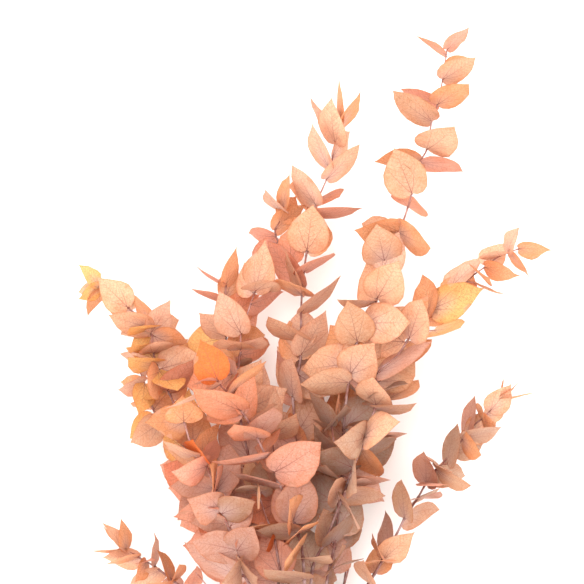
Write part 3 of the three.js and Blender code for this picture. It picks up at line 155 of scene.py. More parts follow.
# Leafy shoots: name, stem they grow from, twig radius at tip and foot, leaf length at the tip and lower
# down, path from tip to foot as (u, v, z), leaves as (base u, base v, tip u, tip v, width seen from
# above, side), and one tone letter for each leaf
SHOOTS = (
    ("shoot_front", "stem_front", (0.8, 1.6), (36, 45), (
        (217, 377, 150), (222, 385, 148), (232, 395, 145), (240, 408, 142), (250, 422, 139),
        (263, 448, 134), (275, 470, 128), (286, 500, 119), (293, 518, 114), (298, 533, 110),
        (302, 548, 106), (304, 575, 98), (305, 606, 89),
    ), (
        (217, 378, 201, 338, 38, 1), (220, 384, 163, 408, 6, 0), (238, 411, 191, 381, 34, 1),
        (241, 410, 236, 388, 13, -1), (231, 394, 268, 361, 12, -1), (226, 390, 237, 382, 12, -1),
        (244, 414, 255, 375, 26, -1), (250, 420, 276, 402, 9, -1), (258, 436, 235, 422, 26, 1),
        (258, 436, 274, 405, 28, 1), (268, 455, 211, 461, 11, 1), (276, 470, 321, 440, 44, 1),
        (280, 484, 230, 470, 8, 1), (295, 519, 305, 471, 42, 1), (295, 518, 289, 497, 22, 1),
        (297, 532, 255, 527, 9, 1), (297, 533, 304, 525, 14, 1), (299, 546, 283, 558, 20, 1),
        (304, 557, 330, 553, 13, 1), (306, 578, 261, 561, 20, 1),
    ), "VKCCORCKCWSSWWOBOOBB"),
    ("shoot_centre_grey", "stem_right", (0.8, 1.5), (36, 42), (
        (331, 423, 108), (333, 436, 107), (335, 452, 105), (338, 472, 102), (338.5, 500, 98),
        (336, 535, 92), (330, 567, 86), (322, 606, 76),
    ), (
        (331, 424, 309, 390, 18, 1), (333, 425, 346, 403, 12, 1), (334, 418, 341, 388, 5, -1),
        (335, 452, 313, 422, 14, 1), (341, 478, 324, 465, 12, 1), (342, 500, 326, 471, 28, 1),
        (326, 539, 318, 505, 17, 1), (330, 541, 349, 512, 20, 1), (330, 568, 343, 541, 22, 1),
        (340, 565, 357, 558, 12, 1), (326, 570, 336, 586, 20, 1),
    ), "GGOGGTTGTGG"),
    ("shoot_right", "stem_front_right", (0.6, 1.5), (27, 42), (
        (521, 248, 80), (510, 252, 81), (498, 257, 82), (485, 267, 84), (475, 274, 85), (462, 285, 88),
        (451, 298, 90), (440, 304, 92), (431, 310, 94), (420, 325, 97), (409, 338, 100), (395, 358, 104),
        (378, 372, 108), (376, 403, 112), (364, 436, 114), (352, 470, 114), (341, 500, 111),
        (326, 539, 101), (313, 566, 92), (310, 606, 76),
    ), (
        (521, 248, 552, 250, 18, 1), (508, 253, 520, 227, 15, 1), (509, 252, 532, 279, 7, 1),
        (499, 255, 481, 252, 14, 1), (485, 267, 520, 276, 18, 1), (477, 272, 488, 279, 8, 1),
        (452, 284, 482, 257, 26, -1), (476, 283, 505, 294, 3, 0), (432, 309, 483, 288, 40, 1),
        (436, 330, 461, 327, 15, -1), (424, 318, 425, 275, 26, -1), (409, 338, 423, 298, 34, 1),
        (379, 373, 431, 340, 18, 1), (400, 362, 432, 338, 24, -1), (376, 404, 372, 376, 34, 1),
        (372, 395, 408, 383, 12, 1), (377, 404, 397, 394, 10, -1), (388, 398, 419, 381, 20, -1),
        (378, 408, 416, 403, 12, 1), (365, 437, 400, 421, 30, 1), (364, 436, 334, 441, 37, 1),
        (366, 440, 407, 432, 12, -1), (367, 446, 396, 442, 18, -1), (363, 448, 380, 476, 24, -1),
        (353, 472, 356, 490, 27, 1), (347, 494, 386, 497, 22, -1), (352, 480, 391, 479, 12, -1),
        (343, 500, 358, 530, 18, 1),
    ), "OKOPOOKOYYOPWOPGTOTPBWGUBTWT"),
    ("shoot_top_right", "stem_right_back", (0.6, 1.6), (30, 44), (
        (448, 47, 70), (446, 57, 70), (443, 79, 72), (438, 104, 74), (432, 121, 76), (427, 149, 79),
        (421, 161, 80), (412, 193, 84), (408, 207, 85), (403, 222, 87), (400, 230, 88), (392, 250, 91),
        (384, 262, 93), (377, 298, 99), (368, 320, 103), (357, 341, 106), (350, 374, 107), (346, 400, 104),
        (343, 440, 95), (342, 480, 85), (339, 520, 77), (334, 560, 69), (328, 600, 60),
    ), (
        (448, 47, 471, 26, 16, 1), (446, 54, 417, 34, 6, -1), (443, 79, 476, 56, 26, 1),
        (438, 104, 469, 84, 26, 1), (438, 103, 401, 87, 16, -1), (432, 121, 393, 90, 26, 1),
        (427, 149, 454, 127, 37, 1), (421, 161, 374, 161, 24, -1), (411, 193, 394, 148, 42, 1),
        (420, 162, 464, 171, 16, -1), (408, 207, 415, 195, 46, -1), (400, 232, 354, 231, 30, 1),
        (398, 232, 431, 248, 26, 1), (384, 261, 376, 225, 46, 1), (377, 298, 399, 260, 50, 1),
        (376, 300, 366, 262, 36, -1), (376, 300, 336, 298, 11, 1), (370, 325, 411, 322, 46, 1),
        (357, 341, 347, 299, 52, 1), (350, 374, 374, 342, 46, 1), (351, 369, 378, 326, 33, -1),
        (349, 382, 300, 385, 28, 1), (344, 438, 323, 418, 22, -1), (344, 432, 310, 401, 18, -1),
    ), "SCDOSDPODSCOODPPPPDPPDPP"),
    ("shoot_top_middle", "stem_centre", (0.6, 1.6), (33, 44), (
        (340, 125, 70), (335, 145, 71), (332, 160, 72), (329, 168, 72), (327, 178, 73), (322, 190, 74),
        (316, 203, 75), (311, 225, 77), (307, 250, 79), (303, 280, 81), (301, 313, 82), (301, 354, 82),
        (296, 380, 80), (293, 397, 78), (294, 412, 76), (297, 450, 72), (300, 500, 67), (303, 550, 60),
        (304, 600, 52),
    ), (
        (340, 125, 339, 77, 8, 0), (340, 124, 362, 91, 12, 1), (335, 140, 310, 96, 12, -1),
        (335, 143, 331, 98, 27, 1), (329, 167, 313, 122, 18, 1), (334, 158, 350, 130, 18, -1),
        (328, 179, 359, 143, 20, 1), (314, 204, 292, 164, 22, 1), (313, 204, 290, 186, 18, -1),
        (320, 200, 340, 196, 16, -1), (316, 214, 364, 206, 12, 1), (307, 250, 313, 204, 43, 1),
        (306, 272, 334, 253, 12, 1), (301, 293, 284, 247, 26, 1), (303, 288, 270, 240, 14, -1),
        (301, 295, 279, 277, 18, 1), (301, 312, 340, 274, 14, 1), (301, 355, 326, 310, 34, 1),
        (301, 340, 268, 317, 18, 1), (301, 356, 321, 345, 24, -1), (292, 396, 291, 357, 24, 1),
        (293, 393, 277, 350, 14, -1), (301, 352, 328, 335, 12, -1), (296, 440, 297, 415, 22, 1),
    ), "OOSPKPPKOCSPSPSOKKPWKSTO"),
    ("shoot_top_middle_side", "shoot_top_middle", (0.6, 0.9), (33, 38), (
        (284, 206, 62), (279, 222, 62), (275, 232, 63), (283, 252, 66), (295, 270, 72), (303, 284, 81),
    ), (
        (279, 209, 265, 189, 12, 1), (284, 206, 291, 173, 15, 1), (275, 230, 306, 204, 22, -1),
        (276, 236, 248, 232, 18, -1),
    ), "KOOS"),
    ("shoot_front_left", "stem_left_front", (0.8, 1.5), (38, 44), (
        (184, 419, 118), (188, 432, 119), (191, 441, 119), (203, 458, 117), (207, 465, 116),
        (214, 484, 111), (222, 505, 101), (232, 540, 89), (245, 575, 79), (262, 615, 67),
    ), (
        (184, 420, 145, 422, 34, -1), (184, 419, 183, 394, 44, 1), (203, 458, 162, 440, 12, 1),
        (204, 457, 193, 438, 16, 1), (207, 463, 221, 421, 24, -1), (195, 462, 163, 446, 16, -1),
        (207, 465, 172, 470, 30, 1), (214, 484, 211, 463, 9, 1), (216, 489, 215, 460, 20, 1),
        (214, 490, 157, 465, 18, -1), (220, 500, 173, 517, 26, -1),
    ), "UOPVOUSOSWS"),
    ("shoot_lower_left", "stem_front_low", (0.8, 1.5), (38, 42), (
        (218, 506, 116), (224, 515, 115), (232, 535, 111), (237, 550, 107), (242, 568, 102),
        (248, 582, 97), (258, 602, 89), (270, 622, 80),
    ), (
        (218, 506, 188, 497, 40, 1), (223, 512, 256, 500, 32, 1), (226, 522, 190, 523, 26, -1),
        (236, 549, 192, 540, 36, 1), (237, 550, 254, 525, 42, 1), (241, 567, 220, 584, 26, 1),
        (242, 568, 258, 575, 24, 1), (240, 575, 183, 543, 24, -1),
    ), "WTWWWTTW"),
    ("shoot_front_low", "stem_front_centre", (0.8, 1.4), (34, 40), (
        (256, 489, 112), (261, 500, 110), (266, 515, 107), (270, 525, 105), (275, 540, 101),
        (277, 552, 97), (282, 580, 89), (288, 610, 78),
    ), (
        (257, 489, 239, 484, 16, 1), (259, 489, 270, 504, 17, 1), (262, 490, 260, 461, 22, -1),
        (256, 489, 248, 455, 14, -1), (270, 527, 253, 523, 12, 1), (275, 538, 264, 553, 14, 1),
        (286, 595, 258, 582, 24, 1),
    ), "BDTDOVB"),
    ("shoot_inner_pale", "stem_front_centre", (0.7, 1.2), (38, 40), (
        (272, 425, 94), (273, 445, 92), (277, 480, 87), (282, 520, 80), (287, 560, 73), (289, 590, 70),
        (291, 632, 65),
    ), (
        (272, 428, 274, 386, 18, 1), (272, 436, 297, 413, 18, 1),
    ), "KP"),
    ("shoot_left_middle", "stem_centre_left", (0.7, 1.5), (40, 44), (
        (256, 289, 84), (248, 312, 86), (241, 332, 88), (241, 350, 88), (239, 362, 88), (238, 400, 84),
        (245, 440, 78), (254, 480, 72), (266, 530, 65), (277, 575, 59), (284, 605, 56),
    ), (
        (255, 289, 266, 239, 38, 1), (256, 290, 275, 279, 14, 1), (242, 333, 220, 290, 34, 1),
        (252, 305, 284, 292, 18, -1), (241, 349, 222, 336, 22, 1), (242, 349, 263, 337, 18, 1),
        (240, 355, 270, 345, 24, -1), (240, 362, 256, 358, 14, -1), (239, 380, 236, 360, 20, 1),
    ), "PPKSPKCBW"),
    ("shoot_left_middle_side", "shoot_left_middle", (0.6, 1.0), (32, 38), (
        (226, 283, 66), (225, 300, 68), (226, 318, 70), (226, 340, 73), (231, 362, 78), (238, 392, 84),
    ), (
        (224, 337, 199, 312, 28, 1), (226, 283, 194, 263, 4, 0), (224, 302, 190, 288, 8, 1),
        (228, 282, 236, 246, 16, 1), (228, 298, 239, 264, 24, -1), (224, 318, 221, 286, 14, -1),
    ), "KSSOOO"),
    ("shoot_upper_left", "stem_left_back", (0.6, 1.5), (24, 38), (
        (96, 284, 66), (103, 290, 67), (115, 298, 68), (127, 307, 69), (139, 318, 70), (150, 328, 72),
        (153, 352, 74), (158, 369, 76), (170, 395, 79), (190, 440, 80), (208, 480, 76), (224, 520, 69),
        (240, 560, 61), (258, 605, 53),
    ), (
        (96, 284, 78, 264, 16, 1), (98, 287, 77, 300, 16, 1), (101, 289, 85, 316, 14, -1),
        (127, 307, 97, 277, 32, 1), (148, 326, 135, 294, 14, -1), (150, 328, 108, 316, 26, 1),
        (151, 328, 130, 327, 12, 1), (152, 334, 120, 333, 12, -1), (152, 332, 169, 299, 26, 1),
        (152, 346, 126, 348, 9, 1), (152, 353, 165, 338, 24, 1), (154, 353, 188, 338, 12, 1),
        (157, 366, 119, 353, 14, -1), (157, 363, 128, 357, 20, 1), (161, 372, 148, 395, 24, 1),
        (160, 370, 178, 392, 26, 1), (170, 395, 182, 355, 30, -1), (168, 390, 194, 360, 26, 1),
    ), "YYOPOPYPKYPOKYOYOS"),
    ("shoot_upper_left_side", "shoot_upper_left", (0.6, 1.0), (28, 40), (
        (138, 370, 56), (144, 384, 58), (152, 408, 62), (160, 426, 66), (176, 440, 72), (198, 458, 78),
    ), (
        (138, 371, 138, 350, 14, -1), (140, 384, 117, 391, 15, 1), (145, 384, 138, 416, 26, 1),
        (158, 425, 130, 443, 32, 1), (150, 402, 131, 408, 14, -1), (154, 410, 176, 386, 30, -1),
    ), "KKYPOO"),
    ("shoot_right_low", "stem_right_low", (0.6, 1.5), (24, 38), (
        (500, 398, 60), (491, 411, 60), (482, 420, 60), (472, 428, 60), (465, 438, 60), (455, 450, 60),
        (445, 462, 59), (437, 470, 58), (428, 482, 57), (419, 498, 56), (406, 518, 55), (399, 532, 54),
        (384, 560, 52), (370, 584, 50), (345, 625, 46),
    ), (
        (491, 411, 512, 384, 26, 1), (500, 398, 522, 380, 4, 0), (498, 400, 536, 393, 3, 0),
        (500, 396, 504, 376, 2, 0), (483, 419, 483, 406, 9, 1), (482, 420, 497, 425, 14, 1),
        (465, 438, 502, 426, 17, 1), (465, 434, 477, 395, 13, -1), (463, 440, 482, 455, 20, 1),
        (450, 465, 460, 424, 17, 1), (441, 467, 437, 463, 8, 1), (437, 470, 472, 485, 17, 1),
        (428, 485, 428, 447, 18, 1), (429, 484, 441, 481, 9, 1), (428, 486, 454, 484, 4, 0),
        (420, 500, 440, 489, 10, 1), (420, 500, 436, 494, 10, -1), (404, 518, 403, 479, 28, 1),
        (408, 521, 440, 510, 22, -1), (384, 560, 415, 532, 28, 1), (390, 548, 387, 512, 17, -1),
        (384, 558, 373, 533, 4, 0), (382, 561, 371, 560, 9, 1), (371, 586, 364, 560, 20, 1),
    ), "DOOOOOBWOBPDWSOWBDTDWOOP"),
    ("shoot_left_low", "stem_left_low", (0.6, 1.4), (24, 34), (
        (123, 550, 38), (134, 557, 38), (143, 563, 39), (153, 568, 40), (170, 581, 42), (185, 592, 43),
        (214, 613, 44),
    ), (
        (122, 550, 119, 520, 14, 1), (123, 552, 101, 524, 12, 1), (124, 551, 86, 553, 4, 0),
        (126, 552, 96, 530, 3, 0), (143, 563, 151, 559, 7, 1), (153, 569, 154, 533, 7, 0),
        (170, 580, 157, 551, 10, 1), (173, 584, 179, 565, 12, 1), (138, 561, 100, 560, 26, -1),
        (136, 560, 97, 568, 6, 0), (144, 566, 134, 584, 14, 1), (190, 594, 196, 566, 18, 1),
        (172, 583, 145, 583, 8, 1), (158, 574, 128, 588, 20, -1),
    ), "OPOOSKUOPOOSOP"),
)

# Short shoots below and behind the crown: name, woody stem, path, leaf length, turn of the first pair
FILL_SHOOTS = (
    ("low_shoot_left_front", "stem_left_front", ((196, 572, 98), (222, 600, 84), (256, 634, 62)), 36, 20),
    ("low_shoot_left", "stem_left_low", ((176, 612, 62), (204, 622, 52), (240, 640, 41)), 33, 55),
    ("low_shoot_left_back", "stem_left_back", ((214, 560, 26), (238, 598, 32), (266, 632, 45)), 36, 10),
    ("low_shoot_front", "stem_front_low", ((262, 592, 122), (270, 614, 104), (281, 645, 67)), 36, 75),
    ("low_shoot_middle", "stem_front", ((300, 590, 126), (302, 612, 106), (303, 646, 66)), 36, 35),
    ("low_shoot_back", "stem_centre", ((290, 560, 22), (296, 600, 30), (302, 645, 41)), 36, 0),
    ("low_shoot_right_front", "stem_right", ((346, 590, 104), (336, 612, 92), (317, 640, 60)), 36, 60),
    ("low_shoot_right", "stem_right_low", ((392, 612, 66), (366, 628, 54), (335, 642, 43)), 33, 15),
    ("low_shoot_right_back", "stem_right_back", ((352, 560, 30), (340, 600, 36), (318, 630, 51)), 36, 40),
    ("back_shoot_left", "stem_left_back",
     ((176, 430, 36), (206, 490, 36), (236, 560, 40), (266, 620, 49)), 42, 30),
    ("back_shoot_centre_left", "stem_centre_left",
     ((232, 430, 34), (250, 490, 34), (270, 560, 38), (288, 625, 51)), 42, 80),
    ("back_shoot_centre", "stem_centre",
     ((300, 380, 34), (304, 450, 34), (306, 540, 36), (303, 625, 46)), 42, 10),
    ("back_shoot_right", "stem_right_back",
     ((356, 400, 40), (350, 470, 38), (342, 540, 40), (324, 610, 57)), 42, 50),
    ("back_shoot_far_right", "stem_right_low",
     ((370, 424, 28), (364, 480, 26), (350, 550, 30), (338, 636, 44)), 40, 70),
)

# Changes that a leaf may have had to clear its neighbours: rise, roll, swing and scale. The first three
# were tried one way and then the other.
NUDGES = (
    (5, 0, 0, 1), (0, 12, 0, 1), (10, 0, 0, 1), (7, 14, 0, 1), (7, -14, 0, 1), (16, 0, 0, 1),
    (0, 26, 0, 0.95), (14, 20, 6, 0.92), (22, 0, 5, 0.92), (0, 0, 9, 0.86), (12, -18, 10, 0.82),
    (28, 8, 0, 0.82), (12, 30, 16, 0.72), (36, 0, -16, 0.72),
)
CHANGES = [(0, 0, 0, 1)] + [
    (way * rise, way * roll, way * swing, scale) for rise, roll, swing, scale in NUDGES for way in (1, -1)]

# More leaves behind those, for each shoot: distance of the foot from the tip of the twig, bearing, rise,
# turn about the midrib, and length
BEHIND = {
    "shoot_top_middle": [
        (122, 58, -30, -24, 37), (206, 88, -18, -24, 37), (218, 105, -18, 0, 37), (230, -31, 24, 0, 37),
        (286, 59, 12, -24, 46), (298, 178, 36, 0, 46), (322, 141, -30, -24, 46), (410, 31, 12, 0, 46),
    ],
    "shoot_left_middle": [
        (6, 107, -30, -24, 34), (78, 195, 2, 0, 46), (98, 56, 12, 24, 37), (110, 61, -18, 0, 46),
        (114, 27, 2, 24, 46), (158, 115, -18, 0, 46), (174, 223, 36, 0, 37), (262, 104, -8, 24, 46),
        (274, 151, -8, -24, 46), (282, 7, 2, 24, 46),
    ],
    "back_shoot_right": [
        (6, 73, 12, 0, 44), (22, 109, 24, -24, 44), (38, 169, 2, 24, 44), (54, 25, 12, 24, 44),
    ],
    "shoot_front_low": [
        (86, 113, 2, 0, 42),
    ],
    "shoot_top_right": [
        (22, 22, -18, 24, 28), (182, 153, -30, -24, 37), (214, 67, 2, 0, 37), (302, 188, -18, 0, 46),
        (306, 116, -30, -24, 46), (362, 38, -30, 24, 46), (406, -32, -18, -24, 46),
        (430, 122, -30, 24, 46), (474, 70, -18, -24, 46), (498, 81, 12, 0, 37),
    ],
    "shoot_right": [
        (38, 48, -18, -24, 28), (82, 45, -30, -24, 35), (114, 43, -18, -24, 36), (126, 145, -8, 0, 36),
        (138, 176, -30, 0, 44), (186, 30, -30, -24, 44), (266, 154, 24, -24, 36), (370, 105, 2, 0, 44),
    ],
    "shoot_inner_pale": [
        (70, 205, 36, 0, 42),
    ],
    "back_shoot_left": [
        (10, 81, 2, -24, 44), (26, 141, -30, 0, 36), (50, 164, -30, 24, 44), (62, 150, 2, 0, 44),
        (122, 174, 2, -24, 44), (138, 163, 2, 0, 44),
    ],
    "shoot_upper_left": [
        (6, 189, -18, -24, 21), (42, 149, -8, 24, 32), (66, 21, -30, 24, 29), (70, -22, -18, 24, 37),
        (94, 131, -30, 24, 32), (102, 16, 2, 0, 40), (178, 90, 12, 0, 40), (222, 220, 12, 0, 40),
        (226, 172, 2, 0, 40), (238, 207, -18, 0, 40), (266, 196, -8, -24, 40),
    ],
    "shoot_left_middle_side": [
        (30, 32, -18, 24, 36), (46, 31, -30, 0, 37), (50, 191, -18, 0, 37), (58, 18, -30, 24, 38),
        (82, 139, -18, -24, 32),
    ],
    "shoot_top_middle_side": [
        (14, 57, -30, 24, 29), (34, 232, -30, -24, 37), (58, 89, 2, -24, 31),
    ],
    "shoot_right_low": [
        (22, 31, -18, 24, 23), (46, 31, -18, 24, 33), (66, 15, -18, -24, 29), (90, -9, -30, 24, 32),
        (198, 71, -30, -24, 32),
    ],
    "shoot_upper_left_side": [
        (18, 168, -30, -24, 26), (46, 220, 12, -24, 29),
    ],
    "back_shoot_centre": [
        (10, 118, 12, 24, 44),
    ],
    "shoot_front_left": [
        (74, 76, -18, -24, 45),
    ],
    "shoot_centre_grey": [
        (74, 148, -8, 24, 43), (98, 60, -30, 24, 44),
    ],
    "shoot_left_low": [
        (66, 192, -30, 24, 33),
    ],
    "shoot_lower_left": [
        (22, 51, -8, -24, 33),
    ],
    "shoot_front": [
        (154, 109, -8, 0, 38),
    ],
}

# Dye tones, by letter, as seen on the dried leaves in soft white light
TONES = {
    "P": "F6CAA2",  # peach
    "K": "F9D0B0",  # pale pink
    "S": "F4B292",  # salmon
    "C": "F5A878",  # coral
    "R": "EA8A58",  # deep coral
    "O": "F9B97A",  # orange peach
    "V": "EF8B46",  # vivid orange
    "Y": "FDC868",  # yellow orange
    "D": "EABF95",  # beige peach
    "B": "CFAE8F",  # beige grey
    "W": "D6A38A",  # pinkish grey
    "T": "CEA07C",  # tan
    "U": "E8A25C",  # orange brown
    "G": "A8866B",  # taupe
}
# Tones of the leaves behind the ones that show, by the part of the crown, as the far corner of it in
# grid steps to the right and down. The first part that a leaf lies in counts.
HIDDEN_TONES = (
    (205, 445, "YOYOYP"), (300, 425, "KPSPCO"), (300, 700, "SCSRWS"), (584, 372, "POPOKD"),
    (402, 700, "GTBWGUT"), (584, 700, "ODPWOB"),
)


def at(u, v, z):
    """A place on the layout grid, in millimetres."""
    return np.array([(u - MIDDLE) * GRID, (MIDDLE - v) * GRID, z])


def unit(vector):
    """A vector of length 1 in the same direction."""
    return vector / np.linalg.norm(vector)


def chance(number):
    """The same value from 0 to 1 each time for a whole number."""
    h = ((number ^ 61) * 0x9E3779B1) & 0xFFFFFFFF
    h ^= h >> 15
    h = (h * 0x85EBCA6B) & 0xFFFFFFFF
    h ^= h >> 13
    return h / 4294967296


def drawn(span, number):
    """A value by chance: the span's first number, and up to its second one more."""
    return span[0] + span[1] * chance(number)


def smooth_line(points):
    """A finer line of points through the given ones, four to each step."""
    points = [np.array(p, float) for p in points]
    fine = []
    for i in range(len(points) - 1):
        a, b, c = points[max(i - 1, 0)], points[i], points[i + 1]
        d = points[min(i + 2, len(points) - 1)]
        for k in range(4):
            t = k / 4
            fine.append(
                a * (-0.5 * t + t * t - 0.5 * t**3) + b * (1 - 2.5 * t * t + 1.5 * t**3)
                + c * (0.5 * t + 2 * t * t - 1.5 * t**3) + d * (-0.5 * t * t + 0.5 * t**3)
            )
    fine.append(points[-1].copy())
    return np.array(fine)


def lengths_along(line):
    """How far along a line each of its points lies."""
    steps = np.linalg.norm(np.diff(line, axis=0), axis=1)
    return np.concatenate([[0.0], np.cumsum(steps)])


def point_along(line, distance):
    """The point at a distance along a line."""
    lengths = lengths_along(line)
    s = min(max(distance, 0.0), lengths[-1])
    i = 1
    while i < len(line) - 1 and lengths[i] < s:
        i += 1
    part = (s - lengths[i - 1]) / (lengths[i] - lengths[i - 1])
    return line[i - 1] + (line[i] - line[i - 1]) * part


def nearest_on(line, point, flat):
    """Gap, place and distance along a line of its place nearest a point, in plan (flat) or in space."""
    lengths = lengths_along(line)
    best = (math.inf, None, 0.0)
    for i in range(1, len(line)):
        along = line[i] - line[i - 1]
        reach = point - line[i - 1]
        used = 2 if flat else 3
        t = np.dot(reach[:used], along[:used]) / np.dot(along[:used], along[:used])
        t = min(max(t, 0.0), 1.0)
        place = line[i - 1] + along * t
        gap = np.linalg.norm((place - point)[:used])
        if gap < best[0]:
            best = (gap, place, lengths[i - 1] + t * (lengths[i] - lengths[i - 1]))
    return best


def pose_of(foot, base, tip, turn, width, fold, bow):
    """A leaf's place: foot on the twig, blade from base to tip, turn about the midrib, width, fold, bow."""
    run = tip - base
    length = np.linalg.norm(run)
    along = run / length
    level = np.array([-along[1], along[0], 0.0])
    if np.dot(level, level) < 1e-6:
        level = np.array([0.0, 1.0, 0.0])
    level = unit(level)
    up = np.cross(along, level)
    side = level * math.cos(turn) + up * math.sin(turn)
    return {
        "foot": foot, "base": base, "tip": tip, "along": along, "side": side, "face": np.cross(along, side),
        "length": length, "width": width, "fold": fold, "bow": bow,
    }


def leaf_point(pose, a, b):
    """A point of a leaf's middle surface: a along its length, b across its width."""
    bend = pose["bow"] * pose["length"] * 4 * a * (1 - a) + pose["fold"] * pose["width"] * 2 * abs(b)
    return (pose["base"] + pose["along"] * a * pose["length"] + pose["side"] * b * pose["width"]
            + pose["face"] * bend)


def corners_of(pose):
    """The tip and the four lobes of a leaf's rim."""
    return [pose["tip"]] + [leaf_point(pose, a, s * b) for a, b in OUTLINE for s in (1, -1)]


def settled(foot, base, tip, turn, width, key):
    """A leaf's pose, lifted at its tip if it would pass through the surface below."""
    shape = width, drawn(FOLDS, key * 7 + 1), drawn(BOWS, key * 7 + 2)
    pose = pose_of(foot, base, tip, turn, *shape)
    for _ in range(4):
        rim = corners_of(pose) + [base] + [leaf_point(pose, 0.07, s * 0.05) for s in (1, -1)]
        lowest = min(point[2] for point in rim)
        if lowest >= 0:
            break
        lifted = np.array([pose["tip"][0], pose["tip"][1], pose["tip"][2] - 1.1 * lowest])
        pose = pose_of(foot, base, lifted, turn, *shape)
    return pose


def side_twig_ends(line, u, v):
    """Gap from the shoot, head, foot and leaf seat of a side twig to a leaf base."""
    gap, place, distance = nearest_on(line, at(u, v, 0), True)
    head = at(u, v, place[2])
    foot = point_along(line, distance + FORK_RUN * gap)
    seat = head + unit(foot - head) * LAST_SEAT if gap > 0 else head
    return gap, head, foot, seat


def row_pose(size, line, row, key, change):
    """The pose of a leaf laid out by its row, with one change."""
    bu, bv, tu, tv, seen_width, side = row
    rise, roll, swing, scale = change
    gap, _, distance = nearest_on(line, at(bu, bv, 0), True)
    if gap < SIDE_TWIG_SNAP:
        foot = point_along(line, max(distance, LAST_SEAT))
    else:
        foot = side_twig_ends(line, bu, bv)[3]
    base = foot + np.array([0, 0, STALK * side])
    full = size[0] + (size[1] - size[0]) * min(distance / FULL_GROWN, 1)
    run = at(tu, tv, 0) - base
    c, s = math.cos(math.radians(swing)), math.sin(math.radians(swing))
    run = np.array([run[0] * c - run[1] * s, run[0] * s + run[1] * c, 0.0]) * scale
    seen = np.linalg.norm(run)
    level = 0 if side == 0 else LEAST_LIFT * seen
    lift = max(math.sqrt(max(full * full - seen * seen, 0)), level) * side
    tip = base + run + np.array([0, 0, lift + rise])
    wide = LEAF_ASPECT * max(full, min(seen, full * LONGEST))
    across = seen_width * GRID
    turned = math.acos(min(across / wide, 1))
    lean = 1 if np.cross(line[1] - line[0], run)[2] > 0 else -1
    width = wide * scale if turned > 1 else min(across / math.cos(turned), wide) * scale
    return settled(foot, base, tip, turned * lean + math.radians(roll), width, key)


def pair_pose(line, distance, angle, length, key, change):
    """The pose of a leaf of a regular opposite pair, with one change."""
    rise, roll, swing, scale = change
    foot = point_along(line, distance)
    tipward = unit(point_along(line, distance - 4) - point_along(line, distance + 4))
    across = unit(np.cross([0, 0, 1], tipward))
    over = np.cross(tipward, across)
    spread = math.radians(drawn(PAIR_SPREAD, key * 7 + 3) + swing)
    out = across * math.cos(angle) + over * math.sin(angle)
    along = tipward * math.cos(spread) + out * math.sin(spread)
    base = foot + along * STALK * 0.8
    grown = length * scale * drawn(PAIR_GROWTH, key * 7 + 4)
    tip = base + along * grown + np.array([0, 0, rise])
    inner = tipward - along * np.dot(tipward, along)
    level = unit(np.array([-along[1], along[0], 0.0]))
    up = np.cross(along, level)
    turn = math.atan2(-np.dot(inner, level), np.dot(inner, up)) + math.radians(roll)
    return settled(foot, base, tip, turn, grown * LEAF_ASPECT, key)


def behind_pose(line, row):
    """The pose of a leaf behind the others, from its row."""
    distance, bearing, rise, turn, length = row
    foot = point_along(line, distance)
    b, r = math.radians(bearing), math.radians(rise)
    along = np.array([math.cos(b) * math.cos(r), math.sin(b) * math.cos(r), math.sin(r)])
    base = foot + along * STALK
    key = BEHIND_KEYS + distance + bearing
    return settled(foot, base, base + along * length, math.radians(turn), length * LEAF_ASPECT, key)


def bow_clear(pose, twig, radius):
    """Bows a leaf that its own twig would pass through, until the blade lies all over or under it."""
    offset = np.dot(pose["base"] - pose["foot"], pose["face"])
    if abs(offset) < STALK / 2:
        return
    way = math.copysign(1.0, offset)
    reach = twig - pose["base"]
    a = reach @ pose["along"] / pose["length"]
    b = reach @ pose["side"] / pose["width"]
    height = reach @ pose["face"] - pose["fold"] * pose["width"] * 2 * abs(b)
    # Where the twig passes the blade, away from its rim
    crossed = (a > 0.05) & (a < 0.9) & (abs(b) < 0.42)
    for _ in range(BOW_STEPS):
        above = way * (height - pose["bow"] * pose["length"] * 4 * a * (1 - a))[crossed]
        if not np.any((above > -radius) & (above < STALK)):
            return
        pose["bow"] += way * BOW_STEP


def hidden_tone(pose, key):
    """The tone letter of a leaf behind the others, from where it lies."""
    middle = (pose["base"] + pose["tip"]) / 2
    u, v = middle[0] / GRID + MIDDLE, MIDDLE - middle[1] / GRID
    letters = next((letters for far_u, far_v, letters in HIDDEN_TONES if u < far_u and v < far_v), "T")
    return letters[int(chance(key * 11 + 5) * len(letters))]


def stem_lines():
    """The middle lines of the woody stems, from the cut end through the tie to the last fork."""
    lines = {}
    for name, (across, up), top in STEMS:
        tied = at(TIE_U, TIE_V, TIE_Z) + np.array([across * TIE_PITCH, 0, up * TIE_PITCH])
        # The inner stems are cut 8 mm shorter than the outer ones
        end = at(TIE_U, CUT_V, CUT_Z) + np.array(
            [across * TIE_PITCH * CUT_SPREAD, 6 - abs(across) * 8, up * TIE_PITCH])
        lines[name] = smooth_line([end, tied] + [at(*p) for p in top])
    return lines


def shoot_line(path, carrier):
    """A shoot's middle line, with its foot on the stem or shoot that carries it."""
    points = [at(*p) for p in path]
    points[-1] = nearest_on(carrier, points[-1], False)[1]
    return smooth_line(points)


# The frame stands with its box centred on the origin, and the tie says how far the layout was moved
LOW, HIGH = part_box("tie")
SHIFT = at(TIE_U, TIE_V, TIE_Z) - np.array((LOW + HIGH) / 2) / MM


